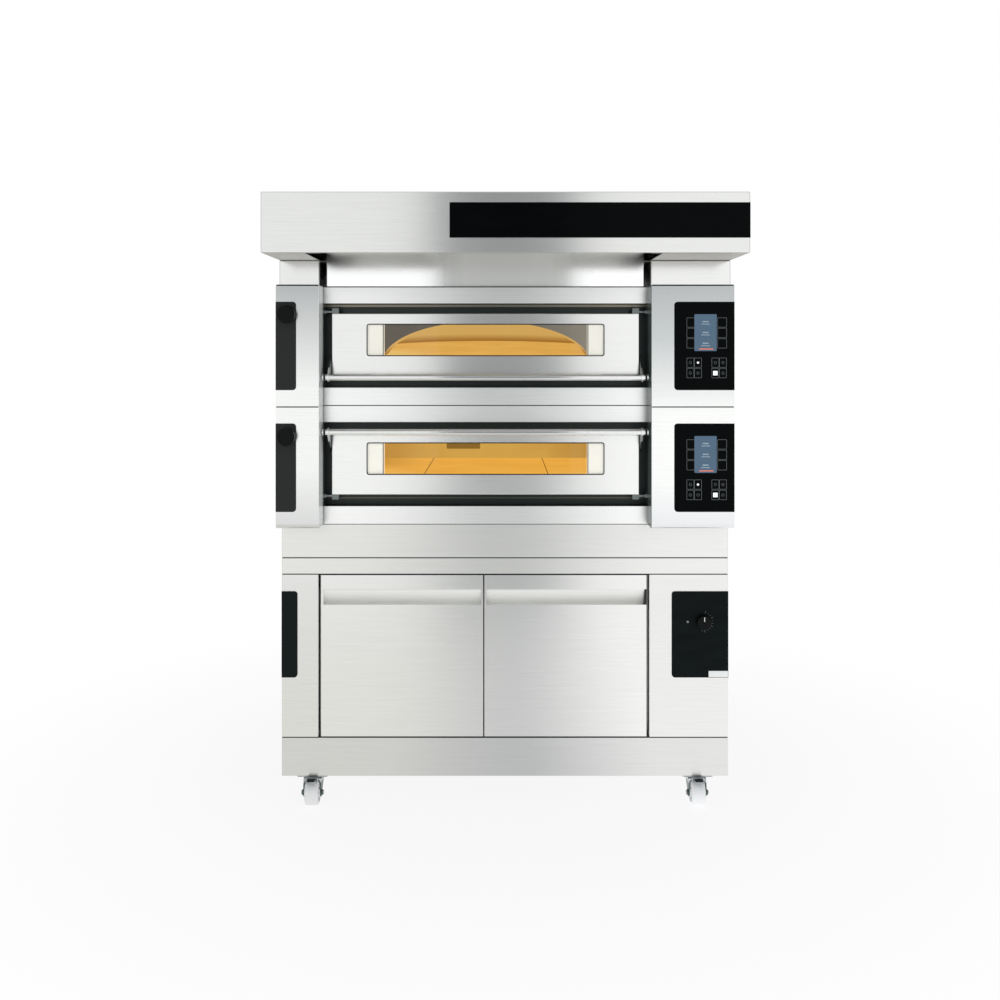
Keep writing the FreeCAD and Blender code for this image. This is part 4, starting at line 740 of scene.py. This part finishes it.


# ---- storey joints ----
# Dark matt strips stand in for shadow: painted shadow fills the grooves where one folded module stands on
# the next, and where the decks' fascia strips meet.
shadow_strip_dark = moulded("dark_shadow_gap_strip", "#2A2F2E", "#1D2120", 0.6, 1.2, 0.0001, 0.1)
joints = bmesh.new()
GROOVE = 2.2 * MM
FASCIA_GROOVE = 1.4 * MM
SUNK = 0.15 * MM
spacer_low, spacer_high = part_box("spacer")
for z in (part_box("prover_top")[0].z, spacer_low.z, spacer_high.z, cabinet_low.z):
    block(
        joints,
        (cabinet_low.x + 2 * MM, FRONT + SUNK, z - GROOVE),
        (right_high.x - 2 * MM, FRONT + 2 * MM, z + GROOVE),
    )
for z in (LOWER_Z + DECK_PITCH, LOWER_Z + 2 * DECK_PITCH):
    block(
        joints,
        (left_high.x, FRONT - SUNK, z - FASCIA_GROOVE),
        (right_low.x, FRONT + 0.6 * MM, z + FASCIA_GROOVE),
    )
    for low, high in ((left_low.x, left_high.x), (right_low.x, right_high.x)):
        y = COLUMN_FRONT + SUNK
        block(joints, (low + 2 * MM, y, z - GROOVE), (high - 2 * MM, y + 2 * MM, z + GROOVE))
piece("storey_joint_shadow_strips", joints, shadow_strip_dark, "root")


# ---- door surrounds and hinge pins ----
# The fascia strips fold back into a recess round the chamber mouth, painted dark teal as painted shade,
# so that the doors stand out pale against it; thin strips at its back are painted tan as painted
# reflections. Zinc-plated pins carry the doors.
recess = ("Y", FRONT + 1.6 * MM, FRONT + 2.2 * MM)
painted_reflection_depth = ("Y", FRONT + 50 * MM, FRONT + 51 * MM)
# Painted shade: the recess is painted dark teal with little metal.
zones = [((recess,), "#26302E", 0.3)]
# Painted reflections: thin tan strips at the back of the recess.
for low, tall, colour in (
    (LOWER_Z + DECK_PITCH + 301.5 * MM, 8.5 * MM, "#9A9484"),
    (LOWER_Z + 305.5 * MM, 5.0 * MM, "#8A8272"),
    (LOWER_Z + 71.0 * MM, 3.5 * MM, "#6E6A5E"),
):
    painted_reflection_strip = (painted_reflection_depth, ("Z", low, low + MM), ("Z", low + tall, low + tall - MM))
    zones.append((painted_reflection_strip, colour, 1.0))
painted_recess_stainless = stainless("satin_fascia_with_painted_shade_recess", "#FAFAF9", "#F4F4F3", 0.32, zones=zones)
dress(painted_recess_stainless, "door_surrounds")
dress(zinc, "hinge_pins")


# ---- baking chambers ----
# Aluminised steel linings round refractory hearths, lit by a halogen lamp behind borosilicate glass.
# Its warm light fills them, so every surface in there glows a little as painted light, most near the front
# corners; painted shade darkens them towards the side walls and the back, and a painted shadow line runs
# along the foot of the dome.
def lamplit(name, light, shade, grain_mm, relief_depth, zones=()):
    """Surface in the lamp's warm light.

    zones lists (limits, colour). limits may also be a function that makes the share itself.
    """
    made, tree, shader = material(name)
    where = spot(tree)
    parts = add(tree, "ShaderNodeSeparateXYZ", {0: where}).outputs
    tone = mix(tree, spread(tree, noise(tree, where, 5.0), 0.35, 0.65), linear(shade), linear(light))
    for limits, colour in zones:
        share = limits(tree, parts) if callable(limits) else region(tree, parts, limits)
        tone = mix(tree, share, tone, linear(colour))
    grain = noise(tree, where, 1000.0 / grain_mm, 4.0)
    speckle = spread(tree, grain, 0.3, 0.7, 0.9, 0.98)
    relief = add(tree, "ShaderNodeBump", {"Strength": 0.4, "Distance": relief_depth, "Height": grain})
    dim = mix(tree, 0.93, tone, linear("#000000"))
    shader.inputs["Specular IOR Level"].default_value = 0.03
    for socket, value in (
        ("Base Color", dim), ("Emission Color", tone), ("Emission Strength", speckle),
        ("Roughness", spread(tree, grain, 0.3, 0.7, 0.7, 0.9)), ("Normal", relief.outputs[0]),
    ):
        tree.links.new(value, shader.inputs[socket])
    return made


chamber_low, chamber_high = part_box("lower_chamber")
hearth_low, hearth_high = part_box("hearth_stones")
dome_low, dome_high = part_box("dome_insert")
HEARTH_FRONT = 12 * MM
HEARTH_BACK = 72 * MM
ARCH_PLATE = 4 * MM
HEARTH_SLOPE = (HEARTH_BACK - HEARTH_FRONT) / (dome_high.y - dome_low.y - ARCH_PLATE)


def above_hearth(low, high):
    """Zone from low to high above the dome's sloping hearth."""
    def maker(tree, parts):
        back = add(tree, "ShaderNodeMath", {0: parts[1], 1: dome_low.y + ARCH_PLATE}, operation="SUBTRACT")
        rise = add(tree, "ShaderNodeMath", {0: back.outputs[0], 1: HEARTH_SLOPE}, operation="MULTIPLY")
        edge = dome_low.z + HEARTH_FRONT
        level = add(tree, "ShaderNodeMath", {0: rise.outputs[0], 1: edge}, operation="ADD")
        over = add(tree, "ShaderNodeMath", {0: parts[2], 1: level.outputs[0]}, operation="SUBTRACT")
        return spread(tree, over.outputs[0], low, high)
    return maker


# Painted shade: the linings darken towards both side walls and a little up the walls.
gold_lining = lamplit(
    "aluminised_lining_in_lamp_light", "#D9AA52", "#CF9E48", 3.0, 0.0001,
    zones=(
        ((("X", chamber_low.x + 0.24, chamber_low.x + 0.02),), "#C08A30"),
        ((("X", chamber_high.x - 0.24, chamber_high.x - 0.02),), "#B98C3C"),
        ((("Z", hearth_high.z - DECK_PITCH + 0.06, chamber_high.z),), "#CFA65C"),
    ),
)
# Painted light at both front corners near the door, and painted shade at the back on the left.
near_door = ("Y", hearth_low.y + 0.22, hearth_low.y)
far_back = ("Y", hearth_low.y + 0.2, hearth_low.y + 0.45)
gold_stone = lamplit(
    "cordierite_hearth_in_lamp_light", "#F4B54C", "#EEAD44", 1.6, 0.0003,
    zones=(
        ((("X", chamber_low.x + 0.30, chamber_low.x + 0.04), near_door), "#FFD974"),
        ((("X", chamber_high.x - 0.30, chamber_high.x - 0.04), near_door), "#FFD470"),
        ((("X", chamber_low.x + 0.22, chamber_low.x + 0.04), far_back), "#C8902F"),
    ),
)
# Painted light at the dome's front left, a painted shadow line just above the hearth, and the arch plate's
# grey front painted lighter on its right half as painted light.
plate_front = ("Y", dome_low.y + ARCH_PLATE + 0.6 * MM, dome_low.y + ARCH_PLATE + 0.1 * MM)
gold_dome = lamplit(
    "refractory_dome_in_lamp_light", "#EAB65C", "#E0A952", 2.0, 0.0003,
    zones=(
        ((("X", dome_low.x + 0.32, dome_low.x + 0.12), ("Y", dome_low.y + 0.3, dome_low.y)), "#F2D488"),
        (above_hearth(0.6 * MM, 1.4 * MM), "#A8742C"),
        (above_hearth(6.0 * MM, 30 * MM), "#D6AC62"),
        ((plate_front,), "#625D56"),
        ((plate_front, ("X", (dome_low.x + dome_high.x) / 2, dome_high.x - 0.1)), "#8E8980"),
    ),
)
amber_glass = lamplit("lamp_cover_glass", "#8E6A28", "#80602A", 2.0, 0.0001)
wool = moulded("mineral_wool", "#D8CFB4", "#BDB294", 0.9, 4.0, 0.001)
dress(gold_lining, "upper_chamber", "lower_chamber")
dress(gold_stone, "hearth_stones")
dress(gold_dome, "dome_insert")
dress(amber_glass, "chamber_lamps")
dress(wool, "insulation")
dress(rolled_stainless, "flue_duct")
JOINT = 1.3 * MM
SIDE_STONE = 252 * MM
joint_dark = lamplit("joint_between_hearth_stones", "#7E5218", "#704610", 2.0, 0.0001)
stone_joints = bmesh.new()
stone_top = hearth_high.z - DECK_PITCH
for x in (hearth_low.x + SIDE_STONE, hearth_high.x - SIDE_STONE):
    block(
        stone_joints,
        (x - JOINT, hearth_low.y, stone_top - 1.5 * MM),
        (x + JOINT, hearth_high.y, stone_top + 0.1 * MM),
    )
piece("hearth_joints", stone_joints, joint_dark, "root")


# ---- oven doors ----
# A folded satin skin over a boxed inner frame in pale enamel, with clear tempered glass behind the window
# and a matt black seal round it. The enamel frame glows a little, as painted light; the hinge lugs are
# painted darker grey and the upper skin a little darker than the lower one, as painted shade. The handle
# is a polished tube, which mirrors the room in thin bright lines, with black rings and steel ends.
def polished(name, pale, roughness, arms_y):
    """Polished steel tube, nearly a mirror; its arms are painted darker grey behind arms_y.

    Its faint polishing lines are 2 mm apart, coarser than real ones so that they show.
    """
    made, tree, shader = material(name)
    where = spot(tree)
    rings = add(tree, "ShaderNodeMapping", {0: where, 3: (500.0, 20.0, 20.0)}).outputs[0]
    lines = noise(tree, rings, 1.0, 2.0)
    parts = add(tree, "ShaderNodeSeparateXYZ", {0: where}).outputs
    arms = region(tree, parts, (("Y", arms_y, arms_y + 2 * MM),))
    tone = mix(tree, lines, linear(pale), linear("#DADBDA"))
    shader.inputs["Metallic"].default_value = 1.0
    tree.links.new(mix(tree, arms, tone, linear("#59615F")), shader.inputs["Base Color"])
    tree.links.new(spread(tree, lines, 0.3, 0.7, roughness, roughness + 0.06), shader.inputs["Roughness"])
    return made


def clear_glass(name, tint):
    """Tempered glass: nearly all light goes straight through, and a little comes back as a mirror image."""
    made = bpy.data.materials.new(name)
    made.use_nodes = True
    made.node_tree.nodes.clear()
    tree = made.node_tree
    wave = noise(tree, spot(tree), 6.0, 1.0)
    relief = add(tree, "ShaderNodeBump", {"Strength": 0.02, "Distance": 0.0005, "Height": wave})
    smudge = noise(tree, spot(tree), 12.0, 4.0)
    mirror = add(tree, "ShaderNodeBsdfPrincipled", {
        "Base Color": linear("#FFFFFF"), "Metallic": 1.0, "Normal": relief.outputs[0],
        "Roughness": spread(tree, smudge, 0.3, 0.7, 0.01, 0.04),
    })
    through = add(tree, "ShaderNodeBsdfTransparent", {0: linear(tint)})
    share = spread(tree, smudge, 0.3, 0.7, 0.006, 0.014)
    both = add(tree, "ShaderNodeMixShader", {0: share, 1: through.outputs[0], 2: mirror.outputs[0]})
    add(tree, "ShaderNodeOutputMaterial", {0: both.outputs[0]})
    return made


BAR_AHEAD = 45 * MM
BAR_OVERLAP = 3 * MM
bar_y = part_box("upper_door_panel")[0].y - BAR_AHEAD
bright_tube = polished("polished_stainless_tube", "#E9E9E7", 0.08, bar_y + 10 * MM)
# Painted light: the enamelled frame glows though no lamp is behind it.
pale_frame_painted_glow = printed("pale_enamelled_frame_painted_glow", "#F4F4F3", 0.34)
tempered_glass = clear_glass("tempered_glass", "#FBFAF6")
WINDOW_IN = 106 * MM
CLEAR_IN = 50 * MM
WINDOW_ABOVE = 60 * MM
WINDOW_BELOW = 31 * MM
LUG_TALL = 16 * MM
for deck, hinge_up in (("lower", -1), ("upper", 1)):
    body = deck + "_door"
    dress(pale_frame_painted_glow, deck + "_door_frame")
    dress(tempered_glass, deck + "_door_glass")
    dress(bright_tube, deck + "_door_handle")
    low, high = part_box(deck + "_door_panel")
    bottom = low.z if hinge_up > 0 else low.z + LUG_TALL
    top = high.z - LUG_TALL if hinge_up > 0 else high.z
    hinge_edge = top if hinge_up > 0 else bottom
    # Painted shade: the hinge lugs are painted darker grey, and the upper skin a little darker than the
    # lower.
    lugs = ("Z", hinge_edge + hinge_up * 0.3 * MM, hinge_edge + hinge_up * 0.8 * MM)
    pale, dull, rough = ("#EAEAE8", "#E4E4E2", 0.2) if hinge_up > 0 else ("#F3F3F1", "#EDEDEB", 0.26)
    dress(
        stainless("satin_stainless_" + deck + "_door", pale, dull, rough, zones=(((lugs,), "#737B79", 0.6),)),
        deck + "_door_panel",
    )
    seal = bmesh.new()
    rounded_ring(
        seal,
        (low.x + WINDOW_IN, low.y + 1.4 * MM, bottom + WINDOW_ABOVE),
        (high.x - WINDOW_IN, low.y + 1.4 * MM, top - WINDOW_BELOW),
        7.6 * MM, 3.2 * MM, 2.2 * MM,
    )
    piece(deck + "_window_seal", seal, dark_rubber, body)
    bar_low, bar_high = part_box(deck + "_door_handle")
    frame_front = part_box(deck + "_door_frame")[0].y
    # Dark strips at the sight opening's edges, as painted shadow.
    edges = bmesh.new()
    for x in (low.x + WINDOW_IN + CLEAR_IN, high.x - WINDOW_IN - CLEAR_IN):
        block(
            edges,
            (x - 1.2 * MM, frame_front - 0.25 * MM, bottom + WINDOW_ABOVE),
            (x + 1.2 * MM, frame_front + 1.0 * MM, top - WINDOW_BELOW),
        )
    piece(deck + "_sight_edge_shadow_strips", edges, shadow_strip_dark, body)
    bar_z = (bottom - BAR_OVERLAP) if hinge_up > 0 else (top + BAR_OVERLAP)
    rings = bmesh.new()
    ends = bmesh.new()
    for x, way in ((bar_low.x, 1), (bar_high.x, -1)):
        turned(
            rings,
            ((9.4 * MM, 0), (10.6 * MM, 0.6 * MM), (10.6 * MM, 5.4 * MM), (9.4 * MM, 6 * MM), (9.4 * MM, 0)),
            (x + way * 5 * MM, bar_y, bar_z),
            (way, 0, 0),
        )
        turned(
            ends,
            (
                (0, -1.2 * MM), (7 * MM, -1.0 * MM), (10.4 * MM, 1.2 * MM), (10.4 * MM, 4.6 * MM),
                (9.4 * MM, 5 * MM), (9.4 * MM, 0.2 * MM), (0, 0.2 * MM),
            ),
            (x, bar_y, bar_z),
            (way, 0, 0),
        )
    piece(deck + "_handle_rings", rings, dark_rubber, body)
    piece(deck + "_handle_ends", ends, bright_tube, body)


# ---- dampers ----
# Round knobs of moulded black phenolic, with a faint sheen, screwed on to zinc-plated steel rods that
# slide the steam gates.
dress(phenolic, "upper_damper_knob", "lower_damper_knob")
dress(zinc, "upper_damper_rod", "lower_damper_rod")


# ---- deck controls ----
# Gloss black acrylic panels with back-lit displays, which look an even blue. Flat touch keys are only
# printed outlines and symbols, some of them lit from behind.
def lcd(name, light, dark):
    """Back-lit display glass: an even blue glow with a grid of cells, coarser than real so that it shows."""
    made, tree, shader = material(name)
    cells = add(tree, "ShaderNodeTexBrick", {0: spot(tree), "Scale": 300.0}, offset=0.0).outputs["Fac"]
    tone = mix(tree, cells, linear(light), linear(dark))
    shader.inputs["Base Color"].default_value = linear("#0A0E14")
    shader.inputs["Specular IOR Level"].default_value = 0.1
    shader.inputs["Emission Strength"].default_value = 1.0
    tree.links.new(tone, shader.inputs["Emission Color"])
    tree.links.new(spread(tree, cells, 0.0, 1.0, 0.1, 0.2), shader.inputs["Roughness"])
    return made


blue_lcd = lcd("blue_lcd", "#546B80", "#4C6177")
pale_segments = printed("pale_display_segments", "#93A6B4", 0.1)
warm_segments = printed("warm_display_segments", "#C4705E", 0.4)
dress(gloss_acrylic, "control_panels")
dress(blue_lcd, "displays")
# Keys and symbols are placed in mm from the panel's top right corner.
KEY_LINE = 1.1 * MM
KEY_TALL = 29.0
KEY_PITCH = 31
DOT = (108.5, 180.5)
SQUARE = (57.0, 211.5)
SQUARE_HALF = 6.5 * MM
panel_low, panel_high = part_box("control_panels")
display_low, display_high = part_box("displays")
for deck, lift in (("lower", 0.0), ("upper", DECK_PITCH)):
    top = panel_high.z - DECK_PITCH + lift
    right = panel_high.x
    face = panel_low.y
    keys = bmesh.new()
    boxes = []
    for row in range(3):
        for left, width in ((142.0, 26.5), (51.0, 28.0)):
            boxes.append((left, 47.0 + KEY_PITCH * row, width))
    for row in range(2):
        for left in (142.0, 119.5, 68.0, 45.5):
            boxes.append((left, 166.0 + KEY_PITCH * row, 22.0))
    for left, down, width in boxes:
        rounded_ring(
            keys,
            (right - left * MM, face, top - (down + KEY_TALL) * MM),
            (right - (left - width) * MM, face, top - down * MM),
            2.0 * MM, KEY_LINE, INK,
        )
    piece(deck + "_key_outlines", keys, grey_ink, "root")
    symbols = bmesh.new()
    lit_symbols = bmesh.new()
    for left, down in (
        (131.0, 180.5), DOT, (57.0, 180.5), (34.5, 180.5), (131.0, 211.5), (108.5, 211.5), (34.5, 211.5)
    ):
        dot = (left, down) == DOT
        outer = (3.2 if dot else 4.2) * MM
        inner = 0.0 if dot else outer - 1.0 * MM
        turned(
            lit_symbols if dot else symbols,
            ((inner, 0), (outer, 0), (outer, INK), (inner, INK)),
            (right - left * MM, face, top - down * MM),
            (0, -1, 0),
            20,
        )
    square_x = right - SQUARE[0] * MM
    square_z = top - SQUARE[1] * MM
    block(
        lit_symbols,
        (square_x - SQUARE_HALF, face - INK, square_z - SQUARE_HALF),
        (square_x + SQUARE_HALF, face, square_z + SQUARE_HALF),
    )
    piece(deck + "_key_symbols", symbols, grey_ink, "root")
    piece(deck + "_lit_symbols", lit_symbols, lit_ink, "root")
    screen_top = display_high.z - DECK_PITCH + lift
    screen_face = display_low.y
    screen = bmesh.new()
    for row in range(3):
        middle_z = screen_top - (20 + 32 * row) * MM
        centre_x = (display_low.x + display_high.x) / 2
        for half, drop, tall in ((9.0, 0.0, 4.0), (13.0, 8.0, 2.6)):
            block(
                screen,
                (centre_x - half * MM, screen_face - INK, middle_z - (drop + tall) * MM),
                (centre_x + half * MM, screen_face, middle_z - drop * MM),
                0.2 * MM,
            )
    piece(deck + "_display_bars", screen, pale_segments, "root")
    foot = bmesh.new()
    block(
        foot,
        (display_low.x + 14 * MM, screen_face - INK, screen_top - 105 * MM),
        (display_high.x - 10 * MM, screen_face, screen_top - 101 * MM),
        0.2 * MM,
    )
    piece(deck + "_display_status_bar", foot, warm_segments, "root")


# ---- hood ----
# A folded box, open below between the two blocks that carry it, its underside painted dark and dull as
# painted shade. A panel rises into it from the fascia up to the slotted grease filters, painted pale and
# brightest at its sides, as painted light. A gloss black plate covers its front, and a zinc-plated spigot
# stands on top.
hood_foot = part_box("hood_shell")[0].z
# Painted shade: the underside is painted dark, with little metal.
painted_shade_underside = ("Z", hood_foot + 1.2 * MM, hood_foot + 0.6 * MM)
dress(
    stainless(
        "satin_hood_with_painted_shade_underside", "#E2E2E0", "#DCDCDA", 0.22, zones=(((painted_shade_underside,), "#8E897F", 0.1),)
    ),
    "hood_shell",
)
# Painted light: the rear panel is painted near white, half metal, and full metal towards its two sides, which
# come out brightest.
painted_light_panel = ("Y", FRONT - 20 * MM, FRONT - 10 * MM)
dress(
    stainless(
        "satin_blocks_and_painted_light_rear_panel", "#E6E6E4", "#E0E0DE", 0.13,
        zones=[
            ((painted_light_panel,), "#FCFCFA", 0.5),
            ((painted_light_panel, ("X", -0.12, -0.26)), "#FEFEFD", 1.0),
            ((painted_light_panel, ("X", 0.14, 0.28)), "#FEFEFD", 1.0),
        ],
    ),
    "hood_support",
)
dress(rolled_stainless, "hood_filters")
dress(gloss_acrylic, "sign_panel")
dress(zinc, "flue_collar")
